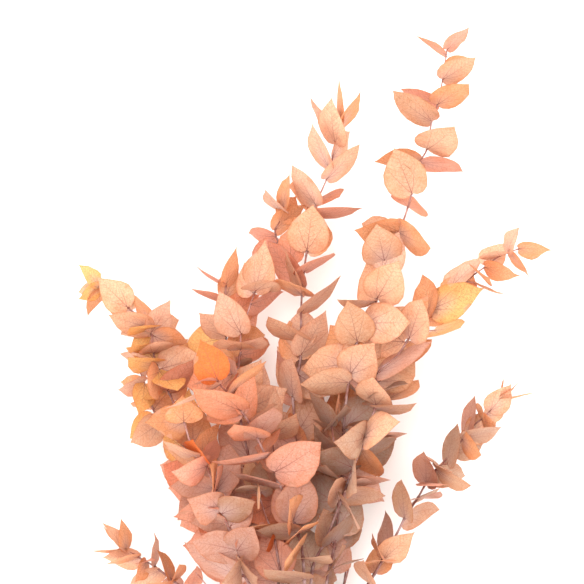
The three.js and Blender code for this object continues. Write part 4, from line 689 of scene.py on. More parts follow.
class Node:
    """The corners of a node's mesh, to look leaves up by."""

    def __init__(self, name):
        mesh = frame["nodes"][name].data
        places = np.empty(len(mesh.vertices) * 3)
        mesh.vertices.foreach_get("co", places)
        self.tree = kdtree.KDTree(len(mesh.vertices))
        for i, place in enumerate(places.reshape(-1, 3) / MM + SHIFT):
            self.tree.insert(place, i)
        self.tree.balance()

    def find(self, posing):
        """The first change of a leaf's pose that this node has, or None."""
        for change in CHANGES:
            pose = posing(change)
            hits = sum(self.tree.find(corner)[2] < FOUND_WITHIN for corner in corners_of(pose))
            if hits >= FOUND_CORNERS:
                return pose
        return None


def layout():
    """All shoots with their lines and the leaves that their nodes have."""
    lines = stem_lines()
    shoots = []
    for name, stem, radius, size, path, rows, tones in SHOOTS:
        shoots.append({"name": name, "stem": stem, "radius": radius, "size": size, "path": path,
                       "rows": rows, "tones": tones, "angle": 45, **SEEN_PAIRS})
    for name, stem, path, size, angle in FILL_SHOOTS:
        shoots.append({"name": name, "stem": stem, "radius": FILL_RADIUS, "size": (size, size), "path": path,
                       "rows": (), "tones": "", "angle": angle, **FILL_PAIRS})
    slots = {row["node"]: row["material_slot"] for row in frame["record"]["subparts"]}
    for order, shoot in enumerate(shoots):
        line = shoot_line(shoot["path"], lines[shoot["stem"]])
        lines[shoot["name"]] = line
        shoot["line"] = line
        shoot["slot"] = slots[shoot["name"]]
        node = Node(shoot["name"])
        leaves, twigs = [], []
        for i, row in enumerate(shoot["rows"]):
            gap, head, foot, _ = side_twig_ends(line, row[0], row[1])
            if gap >= SIDE_TWIG_SNAP:
                twigs.append((head, foot))
            key = order * 100 + i
            pose = node.find(lambda change: row_pose(shoot["size"], line, row, key, change))
            if pose:
                distance = nearest_on(line, pose["foot"], False)[2]
                pose.update(key=key, tone=shoot["tones"][i], young=max(0.0, 1 - distance / YOUNG_REACH))
                leaves.append(pose)
        reach = lengths_along(line)[-1]
        for k in range(int((reach - shoot["bare"]) // shoot["spacing"]) + 1):
            for half in (0, 1):
                key = PAIR_KEYS + order * 100 + 2 * k + half
                wobble = PAIR_WOBBLE * (chance(key) - 0.5)
                angle = math.radians(shoot["angle"] + 90 * k + 180 * half + wobble)
                length = shoot["size"][1] * (FIRST_GROWTH if k == 0 else 1)
                distance = FIRST_PAIR + k * shoot["spacing"]
                pose = node.find(lambda change: pair_pose(line, distance, angle, length, key, change))
                if pose:
                    pose.update(key=key, tone=hidden_tone(pose, key), young=0.3 if k == 0 else 0.0)
                    leaves.append(pose)
        for row in BEHIND.get(shoot["name"], ()):
            key = BEHIND_KEYS + order * 1000 + row[0] + row[1]
            pose = node.find(lambda change: behind_pose(line, row))
            if pose:
                pose.update(key=key, tone=hidden_tone(pose, key), young=max(0.0, 1 - row[0] / YOUNG_REACH))
                leaves.append(pose)
        fine = np.array([point_along(line, s) for s in np.arange(0.0, reach, 1.0)])
        for pose in leaves:
            bow_clear(pose, fine, shoot["radius"][1] * 1.2)
        shoot["leaves"], shoot["side_twigs"] = leaves, twigs
    return lines, shoots


def linear(hex_colour):
    """An sRGB hex colour as linear red, green, blue and alpha."""
    parts = [int(hex_colour[i:i + 2], 16) / 255 for i in (0, 2, 4)]
    return tuple(c / 12.92 if c <= 0.04045 else ((c + 0.055) / 1.055) ** 2.4 for c in parts) + (1.0,)


def add_node(tree, kind, inputs=(), out=None, **settings):
    """Adds a node with its settings and links, and gives its output of that name, or its first one in use.

    The kind may name an operation too. Inputs are values or other nodes' outputs, in order or by their key.
    """
    kind, _, operation = kind.partition(" ")
    made = tree.nodes.new(kind if "Node" in kind else "ShaderNode" + kind)
    if operation:
        made.operation = operation
    for key, value in settings.items():
        setattr(made, key, value)
    for key, value in inputs.items() if isinstance(inputs, dict) else enumerate(inputs):
        if isinstance(value, bpy.types.NodeSocket):
            tree.links.new(value, made.inputs[key])
        else:
            made.inputs[key].default_value = value
    return made.outputs[out] if out else next((o for o in made.outputs if o.enabled), None)


def new_tree(name, sizes):
    """A geometry node tree with its named inputs, the way to add nodes to it, and what it is given."""
    tree = bpy.data.node_groups.new(name, "GeometryNodeTree")
    for label, kind in {"Geometry": "Geometry", **sizes}.items():
        tree.interface.new_socket(label, in_out="INPUT", socket_type="NodeSocket" + kind)
    tree.interface.new_socket("Geometry", in_out="OUTPUT", socket_type="NodeSocketGeometry")
    add = partial(add_node, tree)
    return tree, add, add("NodeGroupInput").node.outputs


def end_tree(add, geometry, material):
    """Ends a tree in real geometry of one material."""
    real = add("GeometryNodeRealizeInstances", (geometry,))
    add("NodeGroupOutput", (add("GeometryNodeSetMaterial", {"Geometry": real, "Material": material}),))


# One side of a leaf: points as (along, across) of a pointed and of a rounded leaf, and how far out each
# lies, from 0 at the midrib to 1 at the rim. The first six run up the midrib, the next four beside it.
BLADE = (
    ((0.0, 0.0), (0.0, 0.0), 0.0), ((0.1, 0.0), (0.1, 0.0), 0.0), ((0.28, 0.0), (0.28, 0.0), 0.0),
    ((0.5, 0.0), (0.5, 0.0), 0.0), ((0.74, 0.0), (0.76, 0.0), 0.0), ((1.0, 0.0), (1.0, 0.0), 1.0),
    ((0.02, 0.13), (0.02, 0.14), 0.5), ((0.23, 0.27), (0.23, 0.28), 0.5), ((0.48, 0.24), (0.5, 0.27), 0.5),
    ((0.71, 0.13), (0.75, 0.19), 0.5), ((-0.05, 0.1), (-0.055, 0.12), 1.0),
    ((-0.04, 0.24), (-0.05, 0.26), 1.0), ((0.05, 0.38), (0.03, 0.4), 1.0),
    ((0.19, 0.475), (0.17, 0.485), 1.0), ((0.36, 0.485), (0.37, 0.5), 1.0),
    ((0.52, 0.405), (0.57, 0.46), 1.0), ((0.68, 0.27), (0.75, 0.35), 1.0),
    ((0.81, 0.14), (0.875, 0.19), 1.0), ((0.91, 0.05), (0.95, 0.07), 1.0),
)
BLADE_FACES = (
    (0, 1, 6), (0, 6, 10), (6, 11, 10), (6, 12, 11), (1, 2, 7, 6), (6, 7, 13, 12), (7, 14, 13),
    (2, 3, 8, 7), (7, 8, 15, 14), (3, 4, 9, 8), (8, 9, 16, 15), (4, 5, 9), (9, 17, 16), (9, 18, 17),
    (9, 5, 18),
)
MIDRIB_POINTS = 6


def leaf_blank():
    """The closed blank that every leaf is shaped from: two skins, joined at a sharp rim."""
    places, other, index, faces = [], [], {}, []

    def corner(i, side, layer):
        """What sets a point apart: the midrib has no sides, and the skins meet at the rim and the foot."""
        return i, side if i >= MIDRIB_POINTS else 0, layer if BLADE[i][2] < 1 and i > 0 else 0

    for layer in (1, -1):
        for side in (1, -1):
            for i, ((a, b), (a2, b2), rim) in enumerate(BLADE):
                key = corner(i, side, layer)
                if key not in index:
                    index[key] = len(places)
                    places.append((a, side * b, key[2]))
                    other.append((a2, side * b2, rim))
            for face in BLADE_FACES:
                loop = [index[corner(i, side, layer)] for i in face]
                faces.append(loop if side * layer > 0 else loop[::-1])
    mesh = bpy.data.meshes.new("leaf_blank")
    mesh.from_pydata(places, [], faces)
    for label, values in (("blade", places), ("round", other)):
        mesh.attributes.new(label, "FLOAT_VECTOR", "POINT").data.foreach_set("vector", np.ravel(values))
    skin = np.repeat([1.0, -1.0], len(faces) // 2)
    mesh.attributes.new("skin", "FLOAT", "FACE").data.foreach_set("value", skin)
    rims = {i for i, value in enumerate(other) if value[2] == 1 or i == index[(0, 0, 0)]}
    sharp = mesh.attributes.new("sharp_edge", "BOOLEAN", "EDGE")
    for edge in mesh.edges:
        sharp.data[edge.index].value = all(v in rims for v in edge.vertices)
    blank = bpy.data.objects.new("leaf_blank", mesh)
    blank.hide_render = True
    bpy.context.collection.objects.link(blank)
    return blank


def leaf_tree():
    """Shapes a blank at each leaf's place by that leaf's own measures."""
    tree, add, given = new_tree("Leaves on a shoot", {
        "Blank": "Object", "Thickness": "Float", "Ruffle": "Float", "Seed": "Int", "Leaf": "Material"})
    blank = add("GeometryNodeObjectInfo", {"Object": given["Blank"]}, out="Geometry")
    laid = add("GeometryNodeInstanceOnPoints", {"Points": given["Geometry"], "Instance": blank})
    real = add("GeometryNodeRealizeInstances", (laid,))
    base, run, span, face, bend, habit, blade, rounded = (
        add("GeometryNodeInputNamedAttribute", {"Name": name}, data_type="FLOAT_VECTOR")
        for name in ("base", "run", "span", "face", "bend", "habit", "blade", "round"))
    fold, bow, curl = add("SeparateXYZ", (bend,)).node.outputs
    pointed, ruffle, seed = add("SeparateXYZ", (habit,)).node.outputs
    layer = add("SeparateXYZ", (blade,), out="Z")
    rim = add("SeparateXYZ", (rounded,), out="Z")
    plan = add("Mix", {0: pointed, 4: rounded, 5: blade}, data_type="VECTOR")
    along, across, _ = add("SeparateXYZ", (plan,)).node.outputs
    length = add("VectorMath LENGTH", (run,))
    width = add("VectorMath LENGTH", (span,))
    out = add("Math ABSOLUTE", (across,))

    # Along the leaf: a bow over its whole length and a curl in its outer half
    rest = add("Math SUBTRACT", (1.0, along))
    arch = add("Math MULTIPLY", (along, rest))
    bow = add("Math MULTIPLY", (bow, 4.0))
    bow = add("Math MULTIPLY", (arch, bow))
    outward = add("Math SUBTRACT", (along, 0.5))
    outward = add("Math MAXIMUM", (outward, 0.0))
    outward = add("Math MULTIPLY", (outward, outward))
    curl = add("Math MULTIPLY_ADD", (outward, curl, bow))
    rise = add("Math MULTIPLY", (curl, length))

    # Across it: a fold at the midrib and a ruffled rim
    fold = add("Math MULTIPLY", (fold, 2.0))
    fold = add("Math MULTIPLY", (fold, out))
    rise = add("Math MULTIPLY_ADD", (fold, width, rise))
    shift = add("CombineXYZ", {2: seed})
    spot = add("VectorMath MULTIPLY_ADD", (blade, (1.6, 2.6, 0.0), shift))
    wave = add("TexNoise", {"Vector": spot, "Scale": 1.0, "Detail": 1.0, "W": given["Seed"]},
               noise_dimensions="4D")
    wave = add("Math SUBTRACT", (wave, 0.5))
    ruffle = add("Math MULTIPLY", (ruffle, given["Ruffle"]))
    ruffle = add("Math MULTIPLY", (ruffle, rim))
    rise = add("Math MULTIPLY_ADD", (wave, ruffle, rise))

    # Each skin stands off by half of the thickness, less towards the rim
    thin = add("Math MULTIPLY", (rim, rim))
    thin = add("Math SUBTRACT", (1.0, thin))
    thin = add("Math MULTIPLY", (thin, given["Thickness"]))
    half = add("Math MULTIPLY", (layer, 0.5))
    rise = add("Math MULTIPLY_ADD", (thin, half, rise))

    # The outline bulges and narrows a little, so no two leaves have the same one
    bulge = add("Math MULTIPLY_ADD", (wave, 0.45, 1.0))
    across = add("Math MULTIPLY", (across, bulge))

    place = base
    for direction, amount in ((run, along), (span, across), (face, rise)):
        step = add("VectorMath SCALE", {0: direction, "Scale": amount})
        place = add("VectorMath ADD", (place, step))
    moved = add("GeometryNodeSetPosition", {"Geometry": real, "Position": place})
    end_tree(add, add("GeometryNodeSetShadeSmooth", (moved,)), given["Leaf"])
    return tree


def wood_tree():
    """Sweeps a knobbly round section along each path, as thick as the path says at each point."""
    tree, add, given = new_tree("Wood along paths", {
        "Sides": "Int", "Knobs": "Float", "Knob size": "Float", "Seed": "Int", "Bark": "Material"})
    path = add("GeometryNodeMeshToCurve", {"Mesh": given["Geometry"]})
    section = add("GeometryNodeCurvePrimitiveCircle", {"Resolution": given["Sides"], "Radius": 1.0})
    thickness = add("GeometryNodeInputNamedAttribute", {"Name": "thickness"}, data_type="FLOAT")
    swept = add("GeometryNodeCurveToMesh", {
        "Curve": path, "Profile Curve": section, "Scale": thickness, "Fill Caps": True})
    place = add("GeometryNodeInputPosition")
    fine = add("Math DIVIDE", (1.0, given["Knob size"]))
    knobs = add("TexNoise", {"Vector": place, "Scale": fine, "Detail": 2.0, "W": given["Seed"]},
                noise_dimensions="4D")
    height = add("Math SUBTRACT", (knobs, 0.5))
    height = add("Math MULTIPLY", (height, given["Knobs"]))
    height = add("Math MULTIPLY", (height, thickness))
    offset = add("VectorMath SCALE", {0: add("GeometryNodeInputNormal"), "Scale": height})
    moved = add("GeometryNodeSetPosition", {"Geometry": swept, "Offset": offset})
    end_tree(add, moved, given["Bark"])
    return tree


def twine_tree():
    """Sweeps two plies, laid round each other, along each path."""
    tree, add, given = new_tree("Twine along paths", {
        "Twine radius": "Float", "Lay": "Float", "Twine": "Material"})
    path = add("GeometryNodeMeshToCurve", {"Mesh": given["Geometry"]})
    run = add("GeometryNodeSplineParameter", out="Length")
    turns = add("Math DIVIDE", (run, given["Lay"]))
    tilt = add("Math MULTIPLY", (turns, 2 * math.pi))
    twisted = add("GeometryNodeSetCurveTilt", {"Curve": path, "Tilt": tilt})
    # Each ply takes a little over half of the twine's radius, beside the other one
    ply_radius = add("Math MULTIPLY", (given["Twine radius"], 0.58))
    ply = add("GeometryNodeCurvePrimitiveCircle", {"Resolution": 7, "Radius": ply_radius})
    section = add("GeometryNodeJoinGeometry")
    for off in (0.44, -0.44):
        aside = add("CombineXYZ", (add("Math MULTIPLY", (given["Twine radius"], off)),))
        moved = add("GeometryNodeTransform", {"Geometry": ply, "Translation": aside})
        tree.links.new(moved, section.node.inputs[0])
    swept = add("GeometryNodeCurveToMesh", {"Curve": twisted, "Profile Curve": section, "Fill Caps": True})
    end_tree(add, swept, given["Twine"])
    return tree


def new_material(name, **marks):
    """An empty material, the way to add nodes to it, and what it reads of the marks on its pieces."""
    material = bpy.data.materials.new(name)
    material.use_nodes = True
    material.node_tree.nodes.clear()
    add = partial(add_node, material.node_tree)
    return material, add, *(add("Attribute", out=out, attribute_name=mark) for mark, out in marks.items())


def over(add, colour, tone, mark, spread, blend="MIX"):
    """Lays a tone over a colour where a mark says. The spread is the range of the mark, from and to, and
    the shares of the tone at its two ends."""
    share = add("MapRange", (mark, *spread))
    return add("Mix", {0: share, 6: colour, 7: tone}, data_type="RGBA", blend_type=blend)


def dried_leaf(settings):
    """Dried eucalyptus leaf, dyed through: matt, paper-like skin whose fine veins keep more of the dye
    than the blade, with a pale waxy bloom left near its base, brown specks, and light coming through."""
    material, add, blade, dye, wear, rim, skin = new_material(
        "dyed_dried_leaf", blade="Vector", dye="Color", wear="Vector", rim="Fac", skin="Fac")
    place = add("TexCoord", out="Object")
    along, across, _ = add("SeparateXYZ", (blade,)).node.outputs
    specked, bloomed, _ = add("SeparateXYZ", (wear,)).node.outputs
    out = add("Math ABSOLUTE", (across,))
    jitter = add("TexNoise", {"Vector": place, "Scale": 160.0, "Detail": 2.0})

    # Side veins leave the midrib every 4 mm or so, bend towards the tip, and take turns left and right
    reach = add("Math MULTIPLY_ADD", (out, 0.85, 0.42))
    reach = add("Math MULTIPLY", (reach, out))
    root = add("Math SUBTRACT", (along, reach))
    root = add("Math MULTIPLY_ADD", (jitter, 0.05, root))
    turn = add("Math GREATER_THAN", (across, 0.0))
    root = add("Math MULTIPLY_ADD", (turn, 0.05, root))
    away = add("Math PINGPONG", (root, 0.052))
    ribs = add("MapRange", (away, 0.0, 0.0085, 1.0, 0.0), interpolation_type="SMOOTHSTEP")
    fade = add("MapRange", (out, 0.02, 0.46, 0.85, 0.1))
    ribs = add("Math MULTIPLY", (ribs, fade))
    # Two stronger veins fan out from the base
    fan = add("Math MULTIPLY_ADD", (along, -0.3, 0.66))
    fan = add("Math MULTIPLY", (fan, along))
    fan = add("Math SUBTRACT", (fan, out))
    fan = add("Math MULTIPLY_ADD", (jitter, 0.02, fan))
    fan = add("Math SUBTRACT", (fan, 0.01))
    fan = add("Math ABSOLUTE", (fan,))
    fan = add("MapRange", (fan, 0.002, 0.012, 1.0, 0.0), interpolation_type="SMOOTHSTEP")
    midrib = add("MapRange", (out, 0.004, 0.016, 1.0, 0.0), interpolation_type="SMOOTHSTEP")
    strong = add("Math MAXIMUM", (fan, midrib))
    fade = add("MapRange", (along, 0.1, 0.85, 1.0, 0.2))
    strong = add("Math MULTIPLY", (strong, fade))
    veins = add("Math MAXIMUM", (ribs, strong))
    # Between them a net of finest veins, 2 mm wide
    net = add("TexVoronoi", {"Vector": place, "Scale": 480.0}, feature="DISTANCE_TO_EDGE")
    net = add("MapRange", (net, 0.0, 0.14, 0.22, 0.0))
    pattern = add("Math MAXIMUM", (veins, net))

    # The dye took unevenly: patches some 10 mm wide, warmer and darker, and more of it near the rim
    cloud = add("TexNoise", {"Vector": place, "Scale": 95.0, "Detail": 4.0, "Roughness": 0.6})
    colour = over(add, dye, linear("F2BE9C"), cloud, (0.4, 0.7, 0.0, 0.38), "MULTIPLY")
    colour = over(add, colour, linear("FFCB94"), rim, (0.35, 1.0, 0.0, 0.2), "MULTIPLY")
    # A grain of pale and darker cells 1.5 mm wide, as the drying skin shrank between its veins
    cells = add("TexNoise", {"Vector": place, "Scale": 650.0, "Detail": 3.0, "Roughness": 0.7})
    colour = over(add, colour, linear("DDA888"), cells, (0.4, 0.66, 0.0, 0.55), "MULTIPLY")
    # Pale waxy bloom round the base
    spread = add("VectorMath MULTIPLY", (blade, (1.0, 1.5, 0.0)))
    spread = add("VectorMath LENGTH", (spread,))
    bloom = add("MapRange", (spread, 0.05, 0.55, 0.62, 0.0))
    bloom = add("Math MULTIPLY", (bloom, bloomed))
    colour = add("Mix", {0: bloom, 6: colour, 7: settings.bloom}, data_type="RGBA")
    drawn_veins = add("Math MULTIPLY", (pattern, 0.78))
    colour = add("Mix", {0: drawn_veins, 6: colour, 7: settings.veins}, data_type="RGBA")
    # Brown specks about 0.5 mm wide, and a few larger stains
    dots = add("TexVoronoi", {"Vector": place, "Scale": 420.0}, feature="F1")
    dots = add("MapRange", (dots, 0.1, 0.2, 0.62, 0.0))
    stain = add("TexNoise", {"Vector": place, "Scale": 70.0, "Detail": 5.0})
    stain = add("MapRange", (stain, 0.6, 0.7, 0.0, 0.4))
    marks = add("Math MAXIMUM", (dots, stain))
    marks = add("Math MULTIPLY", (marks, specked))
    colour = add("Mix", {0: marks, 6: colour, 7: settings.specks}, data_type="RGBA")
    # A thin brown rim, and a greyer underside
    colour = over(add, colour, linear("B8683E"), rim, (0.88, 1.0, 0.0, 0.5))
    colour = over(add, colour, linear("DDB8A4"), skin, (-1.0, 1.0, 0.3, 0.0))

    # Veins stand 0.1 mm proud, over a skin with a grain of 0.4 mm that swells and sinks with the dye
    grain = add("TexNoise", {"Vector": place, "Scale": 2400.0, "Detail": 2.0})
    relief = add("Math MULTIPLY_ADD", (grain, 0.25, pattern))
    relief = add("Math MULTIPLY_ADD", (cloud, 2.2, relief))
    bump = add("Bump", {"Height": relief, "Distance": 0.00012, "Strength": 0.7})
    body = add("BsdfPrincipled", {
        "Base Color": colour, "Roughness": add("MapRange", (grain, 0.3, 0.7, 0.5, 0.66)), "Normal": bump,
        "IOR": 1.45, "Specular IOR Level": 0.35})
    # Light passes two skins on its way through a leaf, so each gives it half of the colour
    once = add("Gamma", (colour, 0.5))
    through = add("BsdfTranslucent", {"Color": once, "Normal": bump})
    add("OutputMaterial", (add("MixShader", (0.42, body, through)),))
    return material


def end_rough(add, colour, relief, depth, strength, rough, **finish):
    """Ends a material in a rough skin with a relief, whose roughness follows the pattern in rough."""
    bump = add("Bump", {"Height": relief, "Distance": depth, "Strength": strength})
    body = add("BsdfPrincipled", {
        "Base Color": colour, "Roughness": add("MapRange", rough), "Normal": bump, "IOR": 1.45, **finish})
    add("OutputMaterial", (body,))


def twig_bark(settings):
    """Thin bark of a dried twig: smooth, purple-brown, rubbed with pale bloom in patches 9 mm wide, darker
    at the rings where leaves sit, with a grain of 0.7 mm."""
    material, add, age, ring = new_material("dried_twig_bark", age="Fac", ring="Fac")
    place = add("TexCoord", out="Object")
    cloud = add("TexNoise", {"Vector": place, "Scale": 110.0, "Detail": 3.0})
    grain = add("TexNoise", {"Vector": place, "Scale": 1500.0, "Detail": 3.0})
    colour = add("Mix", {0: age, 6: settings.young_bark, 7: settings.bark}, data_type="RGBA")
    colour = over(add, colour, settings.bloom, cloud, (0.42, 0.7, 0.04, 0.42))
    ring = add("Math MULTIPLY", (ring, 0.6))
    colour = add("Mix", {0: ring, 6: colour, 7: linear("5A2F28")}, data_type="RGBA")
    end_rough(add, colour, grain, 0.0001, 0.6, (cloud, 0.3, 0.7, 0.5, 0.72))
    return material


def stem_bark(settings):
    """Bark of a woody stem: dull grey-brown in patches 8 mm wide, with fine cracks along it and pale corky
    dots; its cut face is pale wood with year rings and a darker pith."""
    material, add, age, cut, across = new_material("woody_stem_bark", age="Fac", cut="Fac", across="Fac")
    place = add("TexCoord", out="Object")
    # The cracks are 0.7 mm apart and eight times as long
    drawn = add("VectorMath MULTIPLY", (place, (1.0, 0.12, 1.0)))
    cracks = add("TexNoise", {"Vector": drawn, "Scale": 1400.0, "Detail": 4.0, "Roughness": 0.7})
    cloud = add("TexNoise", {"Vector": place, "Scale": 120.0, "Detail": 3.0})
    cork = add("TexVoronoi", {"Vector": place, "Scale": 330.0}, feature="F1")
    colour = add("Mix", {0: age, 6: settings.bark, 7: linear("8C6A55")}, data_type="RGBA")
    colour = over(add, colour, linear("B39A88"), cloud, (0.4, 0.65, 0.0, 0.55))
    colour = over(add, colour, linear("4E342A"), cracks, (0.36, 0.5, 0.75, 0.0))
    colour = over(add, colour, linear("C9B39D"), cork, (0.1, 0.16, 0.7, 0.0))
    rings = add("Math MULTIPLY", (across, 30.0))
    rings = add("Math SINE", (rings,))
    wood = over(add, linear("E6D2AE"), linear("C7A677"), rings, (-1.0, 1.0, 0.0, 0.35))
    wood = over(add, wood, linear("8F6A45"), across, (0.14, 0.24, 0.8, 0.0))
    cut = add("Math GREATER_THAN", (cut, 0.5))
    colour = add("Mix", {0: cut, 6: colour, 7: wood}, data_type="RGBA")
    end_rough(add, colour, cracks, 0.0003, 0.8, (cracks, 0.3, 0.7, 0.88, 0.7))
    return material


def jute_twine(settings):
    """Jute twine of two spun plies: dull golden-brown, with fibres some 0.1 mm wide, drawn coarser at
    0.2 mm so that they show, and paler in spots 3 mm wide."""
    material, add = new_material("spun_jute_twine")
    place = add("TexCoord", out="Object")
    fibres = add("TexNoise", {"Vector": place, "Scale": 4200.0, "Detail": 4.0, "Roughness": 0.75})
    cloud = add("TexNoise", {"Vector": place, "Scale": 350.0, "Detail": 2.0})
    colour = over(add, linear("7A5B35"), settings.twine, fibres, (0.3, 0.7, 0.0, 1.0))
    colour = over(add, colour, linear("DCC49A"), cloud, (0.45, 0.7, 0.0, 0.5))
    end_rough(add, colour, fibres, 0.0003, 0.9, (fibres, 0.3, 0.7, 0.95, 0.8), **{"Sheen Weight": 0.25})
    return material


def grow(name, places, edges, marks, tree, inputs):
    """Runs a node tree on points and edges, and leaves its result as a plain mesh of that name."""
    mesh = bpy.data.meshes.new(name + "_start")
    mesh.from_pydata([tuple(p) for p in places], edges, [])
    fields = {"FLOAT_VECTOR": "vector", "FLOAT": "value", "FLOAT_COLOR": "color"}
    for label, (kind, values) in marks.items():
        mesh.attributes.new(label, kind, "POINT").data.foreach_set(fields[kind], np.ravel(values))
    piece = bpy.data.objects.new(name, mesh)
    bpy.context.collection.objects.link(piece)
    growth = piece.modifiers.new("growth", "NODES")
    growth.node_group = tree
    for label, value in inputs.items():
        growth[tree.interface.items_tree[label].identifier] = value
    depsgraph = bpy.context.evaluated_depsgraph_get()
    grown = bpy.data.meshes.new_from_object(piece.evaluated_get(depsgraph), depsgraph=depsgraph,
                                            preserve_all_data_layers=True)
    piece.modifiers.remove(growth)
    piece.data = grown
    bpy.data.meshes.remove(mesh)
    grown.name = name
    material = next(m for m in grown.materials if m)
    grown.materials.clear()
    grown.materials.append(material)
    return piece


def hand_over(piece, node, kept=(), crease=None):
    """Drops the marks that no material reads, and lets the piece ride on the bunch for its node. A crease is
    the angle from which edges stay sharp on a piece that is smooth elsewhere."""
    if crease:
        piece.data.shade_smooth()
        piece.data.set_sharp_from_angle(angle=math.radians(crease))
    attributes = piece.data.attributes
    for label in [a.name for a in attributes if not a.is_internal and not a.is_required]:
        if label not in (*kept, "sharp_edge"):
            attributes.remove(attributes[label])
    body = next(iter(frame["bodies"]))
    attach(piece, body)
    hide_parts(node)


def chains(paths):
    """The edges that join the points of each path, numbered through all paths."""
    edges, start = [], 0
    for path in paths:
        edges += [(i, i + 1) for i in range(start, start + len(path) - 1)]
        start += len(path)
    return edges


def dye_of(pose):
    """A leaf's own colour: its tone, under wax or not, a little deeper or paler and off in hue."""
    key = pose["key"]
    wax = 0.0 if pose["tone"] == VIVID else WAX
    depth = DYE_DEPTH * (0.93 + 0.14 * chance(key * 13))
    off = chance(key * 13 + 1) - 0.5
    return tuple(depth * (c + wax * (1 - c)) * (1 + spread * off)
                 for c, spread in zip(linear(TONES[pose["tone"]]), HUE_SPREAD)) + (1.0,)


def wear_of(pose):
    """How much a leaf has of specks and stains, and of bloom."""
    key = pose["key"]
    specked = STAIN if key in STAINED else chance(key * 17 + 1) ** 2
    return specked, 0.0 if pose["tone"] == VIVID else chance(key * 17 + 2), 0.0


def bend_of(pose, curl):
    """A leaf's fold, bow and curl."""
    return pose["fold"], pose["bow"], curl * (chance(pose["key"] * 3 + 1) - 0.4)


def habit_of(pose):
    """How pointed a leaf is, how ruffled, and its place in the noise of ruffles."""
    key = pose["key"]
    pointed = 0.1 + 0.8 * max(pose["young"], chance(key * 3 + 2) ** 1.6)
    return pointed, 0.5 + chance(key * 5 + 3), 0.37 * key


def a_size(name, description, default, low, high):
    """A length that a user would change, in metres."""
    return bpy.props.FloatProperty(
        name=name, description=description, default=default, min=low, max=high, unit="LENGTH", precision=5)


def a_share(name, description, default):
    """A share from 0 to 1 that a user would change."""
    return bpy.props.FloatProperty(
        name=name, description=description, default=default, min=0.0, max=1.0, subtype="FACTOR")


def a_colour(name, description, default):
    """A colour that a user would change."""
    return bpy.props.FloatVectorProperty(
        name=name, description=description, default=linear(default), size=4, min=0.0, max=1.0,
        subtype="COLOR")


class BunchSettings(bpy.types.PropertyGroup):
    """Sizes and colours of the bunch"""

    leaf_thickness: a_size("Leaf thickness", "Of a leaf at its midrib", 0.5 * MM, 0.1 * MM, 1.5 * MM)
    ruffle: a_size("Ruffle", "How far a leaf's rim waves up and down", 5.0 * MM, 0.0, 12 * MM)
    curl: a_share("Curl", "How far leaf tips bend out of their plane, as a share of the length", 0.35)
    swelling: a_share("Swelling", "How much thicker a twig is where leaves sit", 0.35)
    twine_radius: a_size("Twine radius", "Of the twine that ties the stems", 0.85 * MM, 0.4 * MM, 2 * MM)
    veins: a_colour("Vein colour", "Colour of leaf veins", "96504C")
    bloom: a_colour("Bloom colour", "Colour of the waxy bloom", "DCC8C6")
    specks: a_colour("Speck colour", "Colour of specks and stains", "8E5B34")
    young_bark: a_colour("Young bark", "Colour of a twig near its tip", "94523F")
    bark: a_colour("Bark", "Colour of an older twig", "6A443E")
    twine: a_colour("Twine colour", "Lighter colour of the twine", "C3A06A")
    lens: bpy.props.FloatProperty(
        name="Lens", description="Focal length of the camera", default=400.0, min=50, max=1000,
        unit="CAMERA")
    view_width: a_size("View width", "Width that the camera takes in at the middle of the crown",
                       VIEW_STEPS * GRID * MM, 0.2, 2.0)


class BUNCH_OT_leaves(bpy.types.Operator):
    """Shapes the leaves of each shoot where the frame's node has them"""

    bl_idname = "bunch.leaves"
    bl_label = "Leaves"

    def execute(self, context):
        settings = context.scene.bunch
        blank, tree, skin = leaf_blank(), leaf_tree(), dried_leaf(settings)
        for number, shoot in enumerate(LAID):
            poses = shoot["leaves"]
            base = (np.array([pose["base"] for pose in poses]) - SHIFT) * MM
            vectors = {
                "base": base,
                "run": [pose["along"] * pose["length"] * MM for pose in poses],
                "span": [pose["side"] * pose["width"] * MM for pose in poses],
                "face": [pose["face"] for pose in poses],
                "bend": [bend_of(pose, settings.curl) for pose in poses],
                "habit": [habit_of(pose) for pose in poses],
                "wear": [wear_of(pose) for pose in poses],
            }
            marks = {label: ("FLOAT_VECTOR", values) for label, values in vectors.items()}
            marks["dye"] = ("FLOAT_COLOR", [dye_of(pose) for pose in poses])
            piece = grow(shoot["name"] + "_leaves", base, [], marks, tree, {
                "Blank": blank, "Thickness": settings.leaf_thickness, "Ruffle": settings.ruffle,
                "Seed": number, "Leaf": skin})
            outer = np.empty(len(piece.data.vertices) * 3)
            piece.data.attributes["round"].data.foreach_get("vector", outer)
            rim = piece.data.attributes.new("rim", "FLOAT", "POINT")
            rim.data.foreach_set("value", outer.reshape(-1, 3)[:, 2])
            hand_over(piece, shoot["name"], ("blade", "rim", "skin", "dye", "wear"))
        bpy.data.objects.remove(blank)
        return {"FINISHED"}


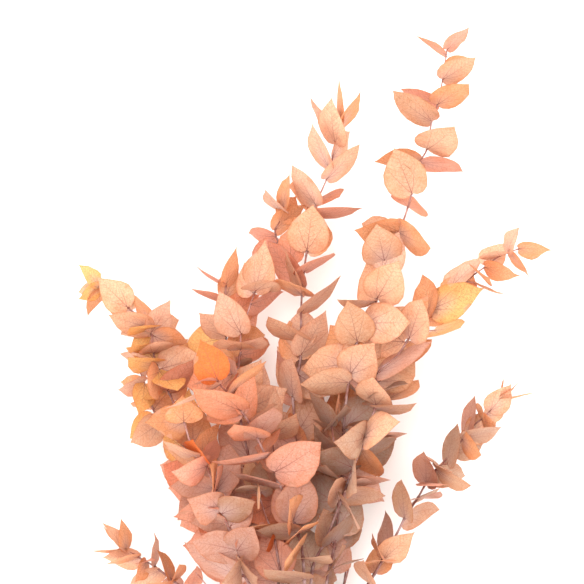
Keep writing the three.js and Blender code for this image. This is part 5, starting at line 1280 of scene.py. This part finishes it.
class BUNCH_OT_twigs(bpy.types.Operator):
    """Grows each shoot's twig, its side twigs and its leaf stalks"""

    bl_idname = "bunch.twigs"
    bl_label = "Twigs"

    def execute(self, context):
        settings = context.scene.bunch
        tree, bark = wood_tree(), twig_bark(settings)
        for number, shoot in enumerate(LAID):
            line, length = shoot["line"], lengths_along(shoot["line"])[-1]
            seats = [nearest_on(line, pose["foot"], False)[2] for pose in shoot["leaves"]]
            steps = np.arange(0.0, length, TWIG_STEP)
            age = steps / length
            near = np.array([min((abs(s - seat) for seat in seats), default=math.inf) for s in steps])
            knot = np.clip(1 - near / KNOT_REACH, 0, 1)
            thin, full = shoot["radius"]
            thick = (thin + (full - thin) * age) * (1 + settings.swelling * knot)
            thick[0] *= TWIG_TIP
            # Each path as its points, and at each point its radius, its age and how much of a ring it has
            paths = [([point_along(line, s) for s in steps], thick, age, knot)]
            for head, foot in shoot["side_twigs"]:
                # A side twig ends inside the twig that carries it
                beyond = foot + unit(foot - head) * 0.8
                paths.append((
                    [head, (head + foot) / 2, beyond], [0.35, SIDE_TWIG_RADIUS, 0.75], [0, 0.1, 0.3],
                    [0, 0, 0.6]))
            for pose in shoot["leaves"]:
                # A leaf's stalk runs out under the first fifth of its midrib
                inner = leaf_point(pose, 0.2, 0) - pose["face"] * 0.15
                paths.append((
                    [pose["foot"], pose["base"], inner], [0.6, 0.5, 0.12], [0.3, 0.1, 0], [0.8, 0.3, 0]))
            places, radii, ages, rings = (np.concatenate(part) for part in zip(*paths))
            edges = chains([points for points, *_ in paths])
            piece = grow(shoot["name"] + "_twig", (places - SHIFT) * MM, edges, {
                "thickness": ("FLOAT", MM * radii), "age": ("FLOAT", ages), "ring": ("FLOAT", rings),
            }, tree, {"Sides": 7, "Knobs": 0.35, "Knob size": 4 * MM, "Seed": number, "Bark": bark})
            hand_over(piece, shoot["name"], ("age", "ring"), crease=70)
        return {"FINISHED"}


class BUNCH_OT_stems(bpy.types.Operator):
    """Grows the woody stems, from their cut faces to their last forks"""

    bl_idname = "bunch.stems"
    bl_label = "Woody stems"

    def execute(self, context):
        tree, bark = wood_tree(), stem_bark(context.scene.bunch)
        low, high = STEM_RADII
        for number, (name, _, _) in enumerate(STEMS):
            line = LINES[name]
            length = lengths_along(line)[-1]
            # The cut face is made of rings that stand within a tenth of a millimetre of each other
            face = len(CUT_RINGS)
            steps = [s for s, _ in CUT_RINGS] + [0.25, *np.arange(2.5, length - 1.2, STEM_STEP)]
            steps += [length - 0.4, length]
            part = np.array(steps) / length
            across = np.ones(len(steps))
            across[:face] = [reach for _, reach in CUT_RINGS]
            # A stem swells and narrows by 7% every 57 mm
            wander = np.array([1 + 0.07 * math.sin(0.11 * s + number) for s in steps])
            thick = (low + (high - low) * part) * wander * across
            thick[-1] *= STEM_END
            cut = np.zeros(len(steps))
            cut[:face] = 1.0
            points = np.array([point_along(line, s) for s in steps])
            piece = grow(name + "_bark", (points - SHIFT) * MM, chains([points]), {
                "thickness": ("FLOAT", MM * thick), "age": ("FLOAT", 1 - part), "cut": ("FLOAT", cut),
                "across": ("FLOAT", across),
            }, tree, {"Sides": 14, "Knobs": 0.16, "Knob size": 7 * MM, "Seed": number + 50, "Bark": bark})
            hand_over(piece, name, ("age", "cut", "across"), crease=40)
        return {"FINISHED"}


class BUNCH_OT_tie(bpy.types.Operator):
    """Winds the twine round the stems and knots it"""

    bl_idname = "bunch.tie"
    bl_label = "Tie"

    turns = 6
    steps_a_turn = 60
    knot_steps = 48

    def execute(self, context):
        settings = context.scene.bunch
        radius = settings.twine_radius / MM
        tilt = math.atan(BUNDLE_SLOPE)
        centre = at(TIE_U, TIE_V, TIE_Z) - SHIFT
        level = np.array([1.0, 0.0, 0.0])
        up = np.array([0.0, -math.sin(tilt), math.cos(tilt)])
        axis = np.array([0.0, math.cos(tilt), math.sin(tilt)])
        held = [np.array([a, u * math.cos(tilt)]) * TIE_PITCH for _, (a, u), _ in STEMS]

        def hugging(angle, off):
            """The place where twine lies on the outermost stem in a direction."""
            out = np.array([math.cos(angle), math.sin(angle)])
            stem = max(held, key=lambda c: np.dot(c, out))
            place = stem + out * (STEM_RADII[0] * 1.05 + off)
            return level * place[0] + up * place[1]

        # The turns lie side by side
        pitch = 2 * radius * 1.02
        wound = []
        for i in range(self.turns * self.steps_a_turn + 1):
            turn = i / self.steps_a_turn
            angle = math.pi / 2 + 2 * math.pi * turn
            wound.append(centre + hugging(angle, radius) + axis * (turn - self.turns / 2) * pitch)
        wound = np.array(wound)
        for _ in range(3):
            wound[1:-1] = (wound[:-2] + 2 * wound[1:-1] + wound[2:]) / 4

        # The ends cross over the turns on top and are knotted there
        top = centre + hugging(math.pi / 2, radius * 2.9)

        def by_top(aside, along, high):
            """A place in millimetres from the middle of the knot."""
            return top + level * aside + axis * along + up * high

        knot = []
        for i in range(self.knot_steps + 1):
            t = 2 * math.pi * i / self.knot_steps
            knot.append(by_top(
                1.2 * (math.sin(t) + 2 * math.sin(2 * t)), 0.96 * (math.cos(t) - 2 * math.cos(2 * t)),
                0.6 - 0.9 * math.sin(3 * t)))
        paths = [wound, knot]
        for side, end in ((-1, wound[0]), (1, wound[-1])):
            paths.append(smooth_line([end, (end + top) / 2 + up * 0.8, by_top(0, side * 1.6, 0.3), top]))
        for side, reach in ((-1, 21.0), (1, 16.0)):
            paths.append(smooth_line([
                by_top(0, 0, 0.4), by_top(side * 3.4, 1.4, 0.9), by_top(side * 7.6, -2.4, -1.9),
                by_top(side * 9.4, -reach / 2, -4.6), by_top(side * 8.6 + 1.2, -reach, -5.6)]))
        piece = grow("tie_twine", np.concatenate(paths) * MM, chains(paths), {}, twine_tree(), {
            "Twine radius": settings.twine_radius, "Lay": 6 * MM, "Twine": jute_twine(settings)})
        hand_over(piece, "tie", crease=60)
        return {"FINISHED"}


class BUNCH_OT_stage(bpy.types.Operator):
    """Sets up the pale floor, the soft light and the camera straight above"""

    bl_idname = "bunch.stage"
    bl_label = "Stage"

    def execute(self, context):
        settings = context.scene.bunch
        scene = context.scene
        mesh = bpy.data.meshes.new("floor")
        far = FLOOR_REACH
        mesh.from_pydata([(-far, -far, 0), (far, -far, 0), (far, far, 0), (-far, far, 0)], [], [(0, 1, 2, 3)])
        floor = bpy.data.objects.new("floor", mesh)
        scene.collection.objects.link(floor)
        # Matt white paper
        paper, add = new_material("matt_white_paper")
        body = add("BsdfPrincipled", {
            "Base Color": linear("F7F5F3"), "Roughness": 0.9, "Specular IOR Level": 0.1})
        add("OutputMaterial", (body,))
        mesh.materials.append(paper)

        world = bpy.data.worlds.new("soft_room")
        world.use_nodes = True
        sky = next(n for n in world.node_tree.nodes if n.type == "BACKGROUND")
        sky.inputs[0].default_value = linear("FFFDFB")
        sky.inputs[1].default_value = ROOM_LIGHT
        scene.world = world
        for name, lean, strength, softness in LAMPS:
            light = bpy.data.lights.new(name, "SUN")
            light.energy = strength
            light.angle = math.radians(softness)
            lamp = bpy.data.objects.new(name, light)
            lamp.location = (*lean, 1.0)
            lamp.rotation_mode = "QUATERNION"
            lamp.rotation_quaternion = Vector((-lean[0], -lean[1], -1.0)).to_track_quat("-Z", "Y")
            scene.collection.objects.link(lamp)

        camera = bpy.data.cameras.new("camera_above")
        camera.lens = settings.lens
        camera.sensor_width = 36.0
        away = settings.view_width * settings.lens / camera.sensor_width
        camera.clip_start, camera.clip_end = away * 0.5, away * 2
        eye = bpy.data.objects.new("camera_above", camera)
        eye.location = (-SHIFT[0] * MM, -SHIFT[1] * MM, CROWN_HEIGHT + away)
        scene.collection.objects.link(eye)
        scene.camera = eye
        scene.view_settings.view_transform = "Standard"
        return {"FINISHED"}


OPERATORS = (BUNCH_OT_stems, BUNCH_OT_twigs, BUNCH_OT_leaves, BUNCH_OT_tie, BUNCH_OT_stage)


class BUNCH_PT_panel(bpy.types.Panel):
    """Lists the settings and the pieces of the bunch"""

    bl_idname = "BUNCH_PT_panel"
    bl_label = "Eucalyptus bunch"
    bl_space_type = "VIEW_3D"
    bl_region_type = "UI"
    bl_category = "Eucalyptus"

    def draw(self, context):
        for label in BunchSettings.__annotations__:
            self.layout.prop(context.scene.bunch, label)
        for operator in OPERATORS:
            self.layout.operator(operator.bl_idname)


def register():
    for item in (BunchSettings, *OPERATORS, BUNCH_PT_panel):
        bpy.utils.register_class(item)
    bpy.types.Scene.bunch = bpy.props.PointerProperty(type=BunchSettings)


def unregister():
    del bpy.types.Scene.bunch
    for item in (BUNCH_PT_panel, *reversed(OPERATORS), BunchSettings):
        bpy.utils.unregister_class(item)


LINES, LAID = layout()


def main():
    register()
    for operator in OPERATORS:
        group, name = operator.bl_idname.split(".")
        getattr(getattr(bpy.ops, group), name)()


if __name__ == "__main__":
    main()
